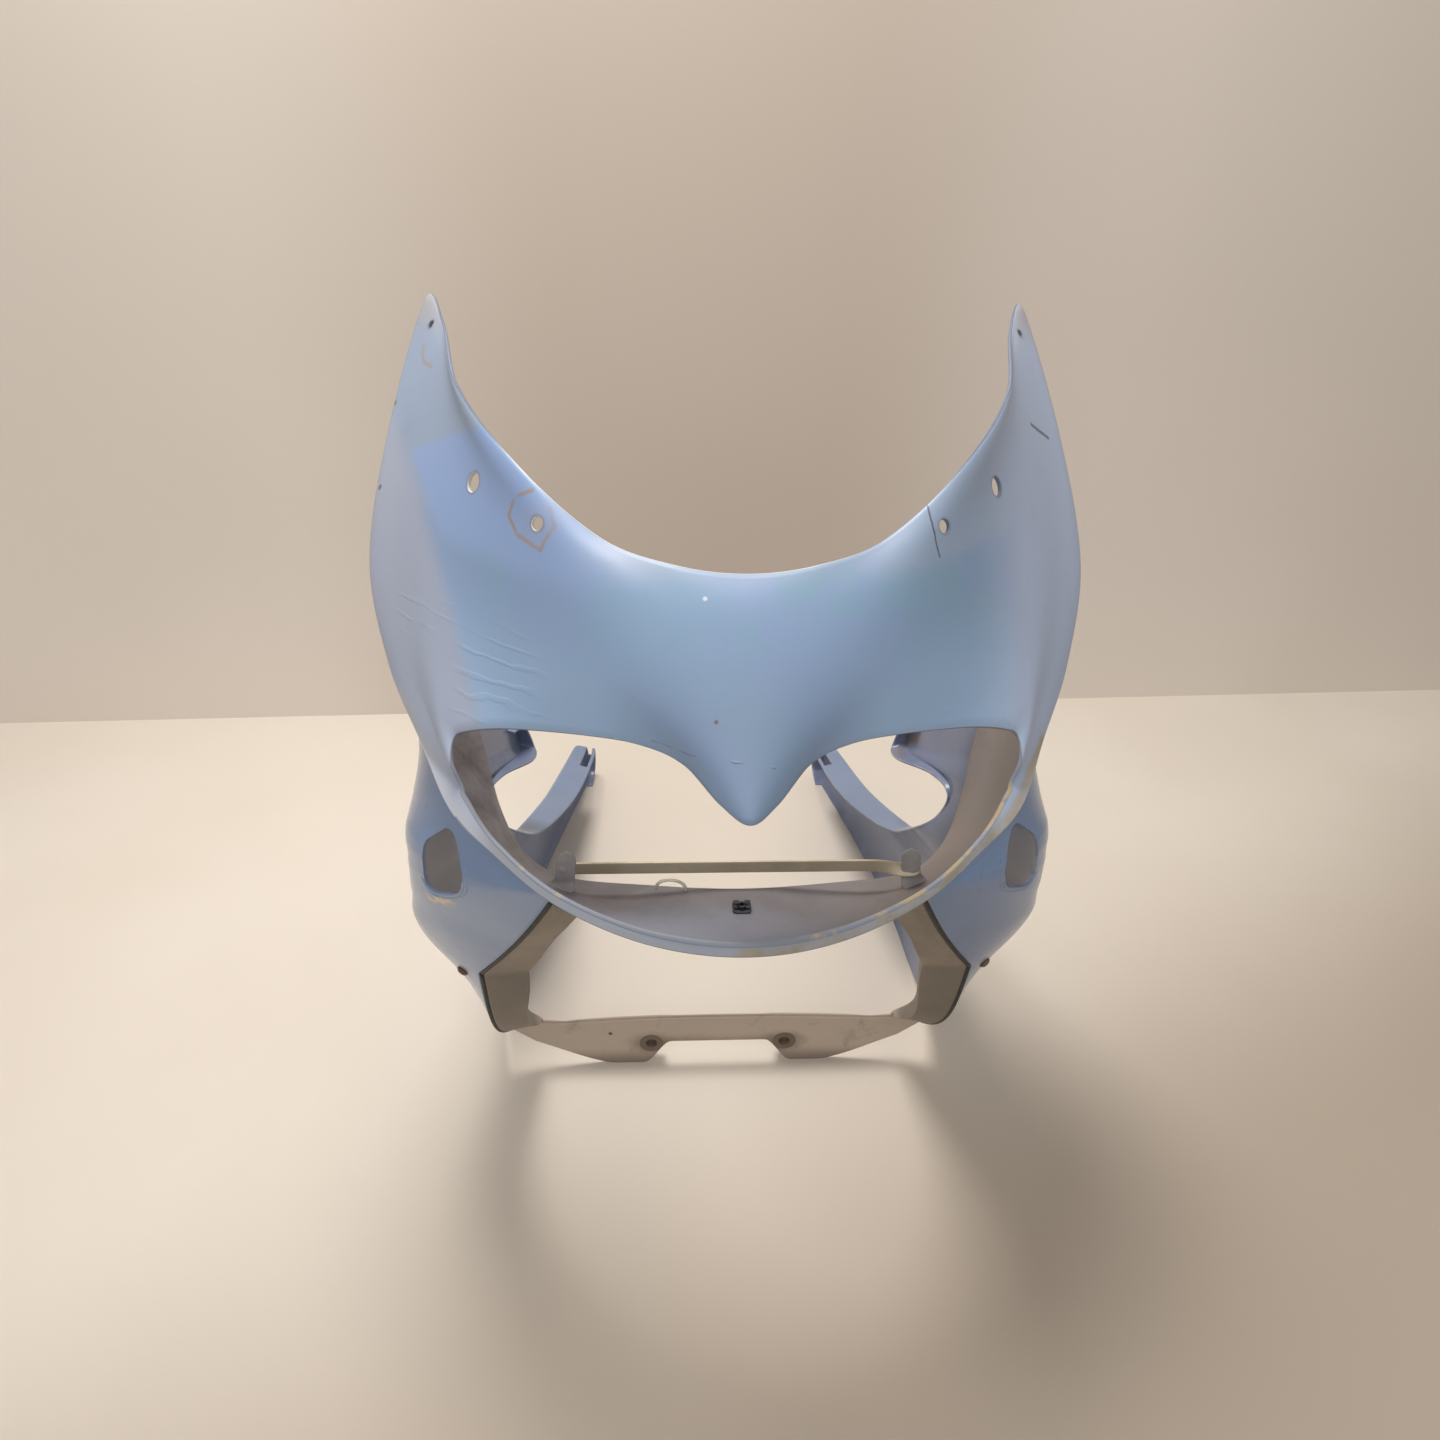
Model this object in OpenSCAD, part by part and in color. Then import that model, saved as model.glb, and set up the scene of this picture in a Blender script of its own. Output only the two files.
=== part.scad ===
// Motorcycle fairing: nose cowl, two side panels, lower liner and their small hardware.
// X to the right, Y to the back, Z up, floor at Z = 0, nose toward -Y. Sizes in mm.

/* [Nose cowl outline] */
// Top tip of the horns: half width, back from the nose, height
horn_tip = [271, 454, 831]; // [100:1:900]
// Widest point of the cowl's side edge
wide_point = [311, 304, 643]; // [100:1:700]
// Side edge level with the end of the headlight opening
cheek_point = [250, 165, 546]; // [50:1:600]
// Crease on the jaw, half way to the chin
jaw_point = [185, 84, 497]; // [20:1:600]
// Height of the chin lip on the centre line
chin_z = 465; // [400:1:520]
// Setback of the chin lip from the front plane
chin_y = 8; // [0:1:40]

/* [Windscreen cut-out] */
// Bottom of the U on the centre line: setback and height
screen_bottom = [140, 698]; // [100:1:750]
// Point of the U half way up the side
screen_side = [168, 222, 753]; // [80:1:800]
// Point of the U under the horn
screen_upper = [222, 309, 788]; // [80:1:850]

/* [Headlight opening] */
// Beak between the two lamps: setback and height
beak = [21, 572]; // [10:1:600]
// Highest part of the opening's top edge
brow_point = [108, 96, 594]; // [20:1:640]
// Outer end of the opening
eye_corner = [217, 139, 565]; // [80:1:600]
// Height of the lip's front face under the opening
lip_height = 7; // [5:0.5:12]

/* [Chin return] */
// Depth of the return skin behind the chin lip
return_depth = 76; // [40:1:110]
// Drop of the return's rear edge on the centre line
return_drop = 7; // [0:1:30]

/* [Side panel] */
// Seam corner where the upper and lower seams meet
seam_corner = [236, 172, 282]; // [100:1:400]
// Front foot of the panel beside the crossbar
foot_point = [246, 292, 66]; // [0:1:400]
// Rear end of the upper lobe: half width, back, height of its top
lobe_end = [250, 524, 346]; // [150:1:600]
// Deepest point of the rear notch
notch_point = [262, 380, 335]; // [150:1:460]
// Rear end of the lower arm
arm_tip = [219, 892, 80]; // [20:1:960]
// Half width over the fullest part of the panels
panel_half = 305; // [280:1:330]
// Width of the turned-in edge round the lobe
lobe_flange = 20; // [8:1:30]
// Width of the turned-in edge along the arm
arm_flange = 38; // [12:1:50]

/* [Duct opening in the side panel] */
// Width of the duct opening
duct_width = 48; // [30:1:60]
// Height of the duct opening
duct_height = 50; // [40:1:80]
// Corner radius of the duct opening
duct_radius = 10; // [4:1:16]
// Middle of the duct opening, counted in panel rows and columns
duct_at = [11.2, 2.8]; // [0:0.1:20]

/* [Lower liner] */
// Height of the crossbar's face between the lobes
crossbar_height = 44; // [30:1:60]
// Front plane of the crossbar
crossbar_y = 292; // [250:1:330]
// Width of the liner's upright bands
band_width = 44; // [24:1:60]
// Depth of the liner's turned-back edge
liner_flange = 26; // [10:1:40]
// How far the two lobes hang below the crossbar's middle
lobe_drop = 37; // [10:1:45]

/* [Mounting holes] */
// Diameter of the windscreen screw holes
screen_hole_d = 10; // [5:0.5:14]
// Diameter of the mirror holes
mirror_hole_d = 15; // [8:0.5:20]
// Diameter of the holes at the horns
horn_hole_d = 7; // [4:0.5:10]
// Diameter of the two crossbar holes
crossbar_hole_d = 14; // [6:0.5:18]
// Distance between the two crossbar holes
crossbar_hole_spacing = 160; // [130:1:190]
// Depth of the collars behind the crossbar holes
collar_depth = 14; // [3:1:20]
// Width of the collars' walls
collar_wall = 7; // [3:1:10]

/* [Skin] */
// Thickness of the moulded skins
skin_t = 3; // [2:0.1:4]

/* [Seam beading] */
// Diameter of the rubber beading in the seams
bead_d = 5; // [3:0.5:8]

/* [Chin brace] */
// Length of the flat brace strip
brace_length = 236; // [180:1:260]
// Height of the strip
brace_height = 11; // [8:1:18]
// Thickness of the strip and of its tongues
brace_t = 2; // [1.5:0.1:3]
// Width of each upright tongue
tongue_width = 15; // [10:1:22]
// Height of each tongue above the return skin
tongue_height = 34; // [20:1:44]

/* [Fasteners] */
// Head diameter of the panel screws
screw_head_d = 12; // [8:0.5:16]
// Shank diameter of the panel screws
screw_d = 5; // [4:0.5:6]
// Hole diameter in the brace strip and its tongues
brace_hole_d = 4.4; // [3:0.1:6]
// Wire thickness of the loop at the chin
wire_d = 2.4; // [1.5:0.1:4]

/* [View] */
// Node to show

/* [Hidden] */
$fn = 32;
fit = 0.3;          // clearance between pieces that touch
half_n = 44;        // nose stations from the beak to the chin
front_n = 7;        // rows between the opening and the outer edge
back_n = 3;         // rows on the return skin
band_n = 28;        // panel rows from top to bottom
reach_n = 16;       // panel columns from front to back
turn_share = [0, 0.55, 0.9, 1]; // columns of the turned-in edge, as shares of its width
slot_rows = [23, 25]; // panel rows of the slot in the arm's turned-in edge
seam_n = 12;        // panel row at the liner's top corner
corner_n = 18;      // panel row at the seam corner
return_from = 0.575; // station where the return skin starts
through = 40;       // length of a cutter that goes right through
eps = 0.01;
middle_y = (chin_y + arm_tip[1] + 14) / 2; // the frame's origin lies under the middle of the length

// vectors and curves
function unit(v) = v / max(norm(v), eps * eps);
function mix(a, b, t) = a * (1 - t) + b * t;
function clamp(x, a, b) = min(b, max(a, x));
function ease(a, b, x) = let (t = clamp((x - a) / (b - a), 0, 1)) t * t * (3 - 2 * t);
function flip_x(p) = [-p[0], p[1], p[2]];
// smooth curve through points that carry their own station: [[t, point], ...]
function slope(k, i) = i == 0 ? (k[1][1] - k[0][1]) / (k[1][0] - k[0][0])
    : i == len(k) - 1 ? (k[i][1] - k[i - 1][1]) / (k[i][0] - k[i - 1][0])
    : (k[i + 1][1] - k[i - 1][1]) / (k[i + 1][0] - k[i - 1][0]);
function seg(k, t, i = 0) = i >= len(k) - 2 || t <= k[i + 1][0] ? i : seg(k, t, i + 1);
function curve(k, t) = let (i = seg(k, t), h = k[i + 1][0] - k[i][0], u = clamp((t - k[i][0]) / h, 0, 1),
    a = 2 * u * u * u - 3 * u * u + 1, b = u * u * u - 2 * u * u + u, c = 1 - a, d = u * u * u - u * u)
    a * k[i][1] + b * h * slope(k, i) + c * k[i + 1][1] + d * h * slope(k, i + 1);

// skins: grid of points with a thickness
function grid_normal(g, i, j, closed) = let (n = len(g), m = len(g[0]),
    a = closed ? g[(i + 1) % n][j] : g[min(i + 1, n - 1)][j],
    b = closed ? g[(i + n - 1) % n][j] : g[max(i - 1, 0)][j])
    unit(cross(a - b, g[i][min(j + 1, m - 1)] - g[i][max(j - 1, 0)]));
module skin(outer, inner, keep, closed = false) {
    n = len(outer);
    m = len(outer[0]);
    cells = closed ? n : n - 1;
    function id(i, j, s) = s * n * m + (i % n) * m + j;
    function has(i, j) = j >= 0 && j < m - 1 && (closed || (i >= 0 && i < cells))
        && keep((i + cells) % cells, j);
    function two(a, b, c, d) = [[a, b, c], [a, c, d]];
    faces = [for (i = [0 : cells - 1]) for (j = [0 : m - 2]) if (has(i, j)) each concat(
        two(id(i, j, 0), id(i, j + 1, 0), id(i + 1, j + 1, 0), id(i + 1, j, 0)),
        two(id(i, j, 1), id(i + 1, j, 1), id(i + 1, j + 1, 1), id(i, j + 1, 1)),
        has(i - 1, j) ? [] : two(id(i, j + 1, 0), id(i, j, 0), id(i, j, 1), id(i, j + 1, 1)),
        has(i + 1, j) ? [] : two(id(i + 1, j, 0), id(i + 1, j + 1, 0), id(i + 1, j + 1, 1), id(i + 1, j, 1)),
        has(i, j - 1) ? [] : two(id(i, j, 0), id(i + 1, j, 0), id(i + 1, j, 1), id(i, j, 1)),
        has(i, j + 1) ? [] : two(id(i + 1, j + 1, 0), id(i, j + 1, 0), id(i, j + 1, 1),
            id(i + 1, j + 1, 1)))];
    polyhedron([for (s = [outer, inner]) for (r = s) each r], faces, convexity = 10);
}
// point on a grid and outward axis there, at a place counted in stations and rows
function on_grid(g, at) = let (i = floor(at[0]), j = floor(at[1]), u = at[0] - i, v = at[1] - j)
    mix(mix(g[i][j], g[i + 1][j], u), mix(g[i][j + 1], g[i + 1][j + 1], u), v);
function axis_on(g, at) = unit(cross(on_grid(g, at + [1, 0]) - on_grid(g, at - [1, 0]),
    on_grid(g, at + [0, 0.8]) - on_grid(g, at - [0, 0.8])));
module to_frame() {
    translate([0, -middle_y, 0]) children();
}
// puts its children at point p with their Z axis along direction d
module place(p, d) {
    v = unit(d);
    translate(p) rotate([0, acos(clamp(v[2], -1, 1)), atan2(v[1], v[0])]) children();
}
// round bar through a list of points
module swept(path, r, sides = 8) {
    n = len(path);
    dirs = [for (i = [0 : n - 1]) unit(path[min(i + 1, n - 1)] - path[max(i - 1, 0)])];
    rings = [for (i = [0 : n - 1]) let (u = unit(cross(dirs[i], [1, 0.02, 0.03])), v = cross(dirs[i], u))
        for (k = [0 : sides - 1]) path[i] + r * (u * cos(360 * k / sides) + v * sin(360 * k / sides))];
    faces = concat([[for (k = [0 : sides - 1]) k]],
        [for (i = [0 : n - 2]) for (k = [0 : sides - 1])
            let (a = i * sides + k, b = i * sides + (k + 1) % sides)
            each [[a, a + sides, b], [b, a + sides, b + sides]]],
        [[for (k = [sides - 1 : -1 : 0]) (n - 1) * sides + k]]);
    polyhedron(rings, faces, convexity = 10);
}

// nose cowl
beak_p = [0, beak[0], beak[1]];
chin_p = [0, chin_y, chin_z];
rim_lift = [0, 2, lip_height];
// outer edge: up the U, round the horn, down the side and along the crease to the chin
rim_knots = [[-0.08, [-50, screen_bottom[0] + 6, screen_bottom[1] + 4]],
    [0, [0, screen_bottom[0], screen_bottom[1]]], [0.08, [50, screen_bottom[0] + 6, screen_bottom[1] + 4]],
    [0.16, mix([50, screen_bottom[0] + 6, screen_bottom[1] + 4], screen_side, 0.42) + [2, -8, -11]],
    [0.27, screen_side], [0.36, screen_upper], [0.42, mix(screen_upper, horn_tip, 0.66) + [-4, 8, 2]],
    [0.455, horn_tip], [0.5, mix(horn_tip, wide_point, 0.5) + [8, 2, 0]], [0.56, wide_point],
    [0.61, mix(wide_point, cheek_point, 0.5) + [6, -3, -13]], [0.66, cheek_point],
    [0.73, mix(cheek_point, jaw_point, 0.5) + [1, -16, -1]], [0.8, jaw_point],
    [0.87, mix(jaw_point, chin_p, 0.28) + [3, -10, -14]],
    [0.935, mix(jaw_point, chin_p, 0.66) + [7, -8, -15]], [1, chin_p],
    [1.065, flip_x(mix(jaw_point, chin_p, 0.66) + [7, -8, -15])]];
eye_knots = [[-0.06, flip_x(mix(beak_p, brow_point, 0.2) + [-2, 2, 2])], [0, beak_p],
    [0.06, mix(beak_p, brow_point, 0.2) + [-2, 0, 1]],
    [0.12, mix(beak_p, brow_point, 0.42) + [-2, 10, 10]], [0.2, mix(beak_p, brow_point, 0.68) + [-2, 8, 9]],
    [0.29, brow_point], [0.4, mix(brow_point, eye_corner, 0.55) + [4, 6, 4]],
    [0.48, mix(brow_point, eye_corner, 0.88) + [2, 4, 4]], [0.55, eye_corner],
    [0.61, eye_corner + [1, -14, -14]], [0.67, mix(eye_corner, curve(rim_knots, 0.73), 0.66) + [-6, 0, 0]],
    [0.73, curve(rim_knots, 0.73) + rim_lift + [-10, 1, 0]], [0.8, jaw_point + rim_lift + [-2, 0, 0]],
    [0.87, curve(rim_knots, 0.87) + rim_lift], [0.935, curve(rim_knots, 0.935) + rim_lift],
    [1, chin_p + rim_lift], [1.065, flip_x(curve(rim_knots, 0.935)) + rim_lift]];
back_knots = [[0.56, wide_point + [-34, -12, -26]], [0.6, wide_point + [-56, -22, -72]],
    [0.66, wide_point + [-87, -66, -132]], [0.73, wide_point + [-108, -112, -184]],
    [0.8, jaw_point + [-8, 68, -57]], [0.87, jaw_point + [-47, 35, -56]],
    [0.935, [70, chin_y + return_depth + 12, chin_z - return_drop - 6]],
    [1, [0, chin_y + return_depth, chin_z - return_drop]],
    [1.065, [-70, chin_y + return_depth + 12, chin_z - return_drop - 6]]];
function bulge(t) = 14 * (1 - ease(0.5, 0.66, t));
function front_pt(t, s) = mix(curve(eye_knots, t), curve(rim_knots, t), s)
    + bulge(t) * 4 * s * (1 - s) * unit([curve(rim_knots, t)[0] / 330, -0.6, 0.45]);
function return_pt(t, s) = mix(curve(rim_knots, t), curve(back_knots, t), s);
function nose_pt(t, j) = j <= front_n ? front_pt(t, j / front_n) : return_pt(t, (j - front_n) / back_n);
nose_half = [for (i = [0 : half_n]) [for (j = [0 : front_n + back_n]) nose_pt(i / half_n, j)]];
nose_rough = [for (i = [0 : 2 * half_n - 1]) i <= half_n ? nose_half[i]
    : [for (p = nose_half[2 * half_n - i]) flip_x(p)]];
// the rows between the opening and the edge are evened out along the cowl, so that the cheek has no fold
function even_w(j) = j < front_n ? 4 * j * (front_n - j) / front_n / front_n : 0;
function even(i, j) = let (n = 2 * half_n, w = even_w(j) * (1 - ease(0.62, 0.7, nose_t(i))),
    g = [for (k = [-9 : 9]) w <= 0 ? (k == 0 ? 1 : 0) : exp(-pow(k / (5.5 * w), 2))])
    g * [for (k = [-9 : 9]) nose_rough[(i + k + n) % n][j]] / (g * [for (k = g) 1]);
nose_outer = [for (i = [0 : 2 * half_n - 1]) [for (j = [0 : front_n + back_n])
    even_w(j) > 0 && nose_t(i) < 0.7 ? even(i, j) : nose_rough[i][j]]];
function nose_t(i) = (i <= half_n ? i : 2 * half_n - i) / half_n;
nose_front = [for (r = nose_outer) [for (j = [0 : front_n]) r[j]]];
nose_back = [for (r = nose_outer) [for (j = [front_n : front_n + back_n]) r[j]]];
function front_normal(i, j) = grid_normal(nose_front, i, j, true);
nose_inner = [for (i = [0 : 2 * half_n - 1]) let (has = nose_t(i) >= return_from,
    lip = front_normal(i, front_n), turn = has ? unit(lip + grid_normal(nose_back, i, 0, true)) : lip)
    [for (j = [0 : front_n + back_n]) let (own = j <= front_n ? front_normal(i, j)
            : grid_normal(nose_back, i, j - front_n, true),
        w = j > front_n || !has ? 0 : j == front_n ? 1 : ease(0.6, 0.7, nose_t(i)),
        d = unit(mix(own, turn, w)))
        nose_outer[i][j] - d * skin_t / max(0.6, d * own)]];
screen_hole = [11, 5.5];
mirror_hole = [15.6, 4.9];
horn_hole = [19.4, 6.65];
module nose_cowl() {
    color("LightSteelBlue") to_frame() difference() {
        skin(nose_outer, nose_inner, function (i, j) j < front_n
            || (nose_t(i) >= return_from && nose_t(i + 1) >= return_from), true);
        for (side = [0, 1]) mirror([side, 0, 0]) {
            nose_bore(screen_hole, screen_hole_d);
            nose_bore(mirror_hole, mirror_hole_d);
            nose_bore(horn_hole, horn_hole_d);
        }
    }
}
module nose_bore(at, d) {
    place(on_grid(nose_outer, at), axis_on(nose_outer, at)) cylinder(d = d, h = through, center = true);
}

// side panels
// front edge: under the cowl's return skin, then down the two seams to the foot
joint_i = 26;       // nose station where the panel's front edge starts
function under_nose(i) = nose_outer[i][front_n + 1] + grid_normal(nose_back, i, 1, true) * fit;
seam_top = under_nose(joint_i + seam_n);
function front_edge(v) = let (r = v * band_n)
    r <= seam_n ? let (k = min(floor(r), seam_n - 1))
        mix(under_nose(joint_i + k), under_nose(joint_i + k + 1), r - k)
    : r <= corner_n ? let (t = (r - seam_n) / (corner_n - seam_n))
        mix(seam_top, seam_corner, t) + [-4, -4, 0] * sin(180 * t)
    : let (t = (r - corner_n) / (band_n - corner_n))
        mix(seam_corner, foot_point, t) + [2, -14, -14] * sin(180 * t);
rear_knots = [[0, lobe_end + [0, -34, 8]], [0.08, lobe_end + [0, -6, 0]], [0.18, lobe_end + [-4, 0, -34]],
    [0.28, lobe_end + [-6, -32, -32]], [0.38, mix(lobe_end, notch_point, 0.72) + [0, -4, 2]],
    [0.46, notch_point], [0.53, notch_point + [-8, 10, -38]], [0.6, notch_point + [-18, 45, -80]],
    [0.67, notch_point + [-16, 98, -116]], [0.76, mix(notch_point, arm_tip, 0.56) + [-2, 0, -53]],
    [0.85, mix(notch_point, arm_tip, 0.9) + [0, 6, -17]], [0.91, arm_tip],
    [27 / 28, arm_tip + [-6, 14, -38]], [1, [arm_tip[0] - 12, arm_tip[1] - 20, 0]]];
turn_knots = [[0, 0.4 * lobe_flange], [0.1, 0.85 * lobe_flange], [0.28, lobe_flange],
    [0.38, 0.6 * lobe_flange], [0.46, 0.25 * lobe_flange], [0.6, 0.25 * lobe_flange],
    [0.66, 0.62 * arm_flange], [0.72, 0.9 * arm_flange], [0.8, arm_flange], [0.9, 0.8 * arm_flange],
    [0.96, 0.55 * arm_flange], [1, 0.3 * arm_flange]];
half_knots = [[0, 0.94 * panel_half], [0.12, 0.92 * panel_half], [0.22, 0.935 * panel_half],
    [0.32, 0.945 * panel_half], [0.42, 0.93 * panel_half], [0.5, 0.945 * panel_half],
    [0.56, 0.975 * panel_half], [0.62, 0.97 * panel_half], [0.7, 0.91 * panel_half],
    [0.8, 0.86 * panel_half], [1, 0.835 * panel_half]];
// the front edge, evened out the more, the further a point lies behind it, so that the pod has no fold
function front_soft(v, u) = let (reach = 1.6 / band_n * ease(0, 0.3, u))
    [1, 2, 3, 2, 1] / 9 * [for (k = [-2 : 2]) front_edge(clamp(v + k * reach, 0, 1))];
function hump(u) = u / 0.3 * exp(1 - u / 0.3);
function panel_pt(v, u) = let (a = front_soft(v, u), b = curve(rear_knots, v),
    w = (curve(half_knots, v) - mix(a, b, 0.3)[0]) / (1 - 0.3 * hump(1)),
    s = u < 1 ? pow(u, 1.25) : u) mix(a, b, s)
    + [w * (hump(s) - hump(1) * s) + 20 * sin(180 * s) * ease(0.6, 0.85, v), 0, 0]
    - [0, 0, (a[2] * (1 - s) + 0.8 * b[2] * s) * pow(ease(0.8, 1, v), 1 + 2 * s) * ease(0, 0.42, u)];
panel_main = [for (i = [0 : band_n]) [for (j = [0 : reach_n]) panel_pt(i / band_n, j / reach_n)]];
panel_turn = [for (i = [0 : band_n]) [for (c = turn_share) panel_main[i][reach_n]
    + c * curve(turn_knots, i / band_n) * [-1, 0, -0.3 * (1 - ease(0.85, 1, i / band_n))]]];
panel_outer = [for (i = [0 : band_n]) [each panel_main[i], for (j = [1 : 3]) panel_turn[i][j]]];
function panel_inset(i, j) = let (own = j <= reach_n ? grid_normal(panel_main, i, j, false)
        : grid_normal(panel_turn, i, j - reach_n, false),
    d = j == reach_n ? unit(own + grid_normal(panel_turn, i, 0, false)) : own)
    d * skin_t / max(0.6, d * own);
panel_bare = [for (i = [0 : band_n]) [for (j = [0 : reach_n + 3])
    let (p = panel_outer[i][j] - panel_inset(i, j)) [p[0], p[1], max(0, p[2])]]];
// the edge under the cowl is bevelled to lie along the return skin
function bevel(i, p) = let (n = grid_normal(nose_back, joint_i + i, 1, true),
    a = nose_outer[joint_i + i][front_n + 1])
    p + n * max(0, 1.6 * fit - (p - a) * n);
panel_inner = [for (i = [0 : band_n]) [for (j = [0 : reach_n + 3])
    j == 0 && i <= seam_n ? bevel(i, panel_bare[i][j]) : panel_bare[i][j]]];
tip_at = [18.4, 1.3];
foot_at = [25.4, 1.85];
module side_panel() {
    color("LightSteelBlue") to_frame() difference() {
        skin(panel_outer, panel_inner, function (i, j) j != reach_n + 1 || i < slot_rows[0]
            || i > slot_rows[1]);
        place(on_grid(panel_outer, duct_at), axis_on(panel_outer, duct_at))
            linear_extrude(height = 1.5 * through, center = true) duct_outline();
        for (at = [tip_at, foot_at]) place(on_grid(panel_outer, at), axis_on(panel_outer, at))
            cylinder(d = screw_d + 0.4, h = through, center = true);
    }
}
module duct_outline() {
    h = duct_height / 2 - duct_radius;
    w = duct_width / 2 - duct_radius;
    corners = [[-4, -w - 4], [h - 5, 1 - w], [h + 6, w - 2], [6 - h, w], [-h - 7, 0]];
    hull() for (p = corners) translate(p) circle(r = duct_radius);
}
module side_panel_right() side_panel();
module side_panel_left() mirror([1, 0, 0]) side_panel();

// seam beading, then the liner inside it
function edge_out(i) = let (g = panel_main, o = cross(g[min(i + 1, band_n)][0] - g[i - 1][0],
    grid_normal(g, i, 0, false))) unit(o) * sign(o * (g[i][0] - g[i][1]));
function seam_pt(i, off) = (panel_outer[i][0] + panel_bare[i][0]) / 2 + edge_out(i) * off;
function seam_at(r, off) = let (i = min(floor(r), band_n - 1))
    mix(seam_pt(i, off), seam_pt(i + 1, off), r - i);
bead_off = bead_d / 2 + fit / 2;
liner_r = seam_n + 0.5; // row where the beading and the liner start
module bead(rows) {
    color("DimGray") to_frame() swept([for (r = rows) seam_at(r, bead_off)], bead_d / 2);
}
module bead_upper_right() bead([liner_r, for (r = [seam_n + 1 : corner_n - 1]) r, corner_n - 0.04]);
module bead_upper_left() mirror([1, 0, 0]) bead_upper_right();
module bead_lower_right() bead([corner_n + 0.04, for (r = [corner_n + 1 : band_n]) r]);
module bead_lower_left() mirror([1, 0, 0]) bead_lower_right();

bar_n = 12;         // liner stations along half of the crossbar
bar_top = crossbar_height + lobe_drop;
corner_x = foot_point[0] - 40;
// lower edge of the crossbar: the lobe's flat, its steep inner side and the long rise to the foot
function bar_low(x) = let (a = crossbar_hole_spacing / 2) lobe_drop * (1 - ease(a - 24, a + 10, x))
    + (foot_point[2] - 4) * pow(ease(122, foot_point[0] + 40, x), 0.8);
bar_x = [for (t = [1 : 12]) (1 - t / bar_n) * (foot_point[0] - 10)];
function seam_mid(k) = seam_at(max(liner_r, seam_n + k), bead_off);
function seam_dir(k) = let (r = max(liner_r, seam_n + k))
    unit(seam_at(min(r + 0.5, band_n), bead_off) - seam_at(r - 0.5, bead_off));
// the liner's edge faces the middle of the beading
function beside(c, t, q) = let (d = unit(q - t * (q * t)), n = cross(t, d))
    c + d * (bead_d / 2 + fit + 0.1) - n * sign(n[1]) * skin_t / 2;
function liner_out(k) = k <= band_n - seam_n ? beside(seam_mid(k), seam_dir(k), liner_in(k) - seam_mid(k))
    : let (x = bar_x[k - band_n + seam_n - 1]) [x, crossbar_y, bar_low(x)];
function liner_in(k) = k <= band_n - seam_n ? let (a = seam_mid(k), t = k / (band_n - seam_n))
        mix([a[0] - band_width * (0.62 + 0.38 * ease(0.15, 0.4, t)) * (1 - 0.22 * ease(0.4, 0.7, t)),
            a[1] + 3 + 12 * (1 - ease(0, 0.4, t)), a[2] - 14 * (1 - ease(0, 0.4, t))],
            [corner_x, crossbar_y - 1, bar_top - 4], ease(0.7, 1, t))
    : let (x = bar_x[k - band_n + seam_n - 1])
        [x * corner_x / foot_point[0], crossbar_y, bar_top - 8 * pow(x / foot_point[0], 2)];
liner_stations = band_n - seam_n + bar_n;
function liner_pt(k, j) = j <= 4 ? mix(liner_out(k), liner_in(k), j / 4)
    : let (t = ease(band_n - seam_n - 5, band_n - seam_n + 1, k)) liner_in(k)
        + mix([6, liner_flange, -4], [0, 7, -9], t) * (j - 4) / 2;
liner_half = [for (k = [0 : liner_stations]) [for (j = [0 : 6]) liner_pt(k, j)]];
liner_outer = [for (k = [0 : 2 * liner_stations]) k <= liner_stations ? liner_half[k]
    : [for (p = liner_half[2 * liner_stations - k]) flip_x(p)]];
liner_inner = [for (k = [0 : 2 * liner_stations]) [for (j = [0 : 6])
    liner_outer[k][j] + skin_t * grid_normal(liner_outer, k, j, false)]];
hole_z = lobe_drop - 3;
module lower_liner() {
    color("Tan") to_frame() difference() {
        union() {
            skin(liner_inner, liner_outer, function (i, j) true);
            at_bar_holes(skin_t / 2) cylinder(d = crossbar_hole_d + 2 * collar_wall, h = collar_depth);
        }
        at_bar_holes(-through / 2)
            cylinder(d = crossbar_hole_d + collar_wall + 1, h = through / 2 + skin_t / 2);
        at_bar_holes(-through / 2) cylinder(d = crossbar_hole_d, h = 2 * through);
    }
}
module at_bar_holes(back) {
    for (x = [-1, 1] * crossbar_hole_spacing / 2) translate([x, crossbar_y + back, hole_z])
        rotate([-90, 0, 0]) children();
}

// chin brace
tongue_at = [38.3, 8.6];
tongue_p = on_grid(nose_inner, tongue_at);
tongue_up = -axis_on(nose_outer, tongue_at);
strip_y = tongue_p[1] + brace_t / 2 + 0.1;
strip_z = tongue_p[2] + tongue_height - 16;
drop = 5;          // the strip's right end sits this much lower
module tongue(screw_z) {
    color("Gray") to_frame() difference() {
        union() {
            place(on_grid(nose_inner, tongue_at - [0, 0.2]) + tongue_up * (fit + 0.5), tongue_up)
                cylinder(d = 10, h = 4.5);
            translate([tongue_p[0], tongue_p[1] + brace_t / 2, tongue_p[2]]) rotate([90, 0, 0])
                linear_extrude(height = brace_t) {
                    translate([0, tongue_height - tongue_width / 2]) circle(d = tongue_width);
                    translate([-tongue_width / 2, 4.5])
                        square([tongue_width, tongue_height - 4.5 - tongue_width / 2]);
                }
        }
        translate([tongue_p[0], strip_y, screw_z]) rotate([90, 0, 0])
            cylinder(d = brace_hole_d, h = through, center = true);
    }
}
module brace_tongue_right() tongue(strip_z - drop);
module brace_tongue_left() mirror([1, 0, 0]) tongue(strip_z);
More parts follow.
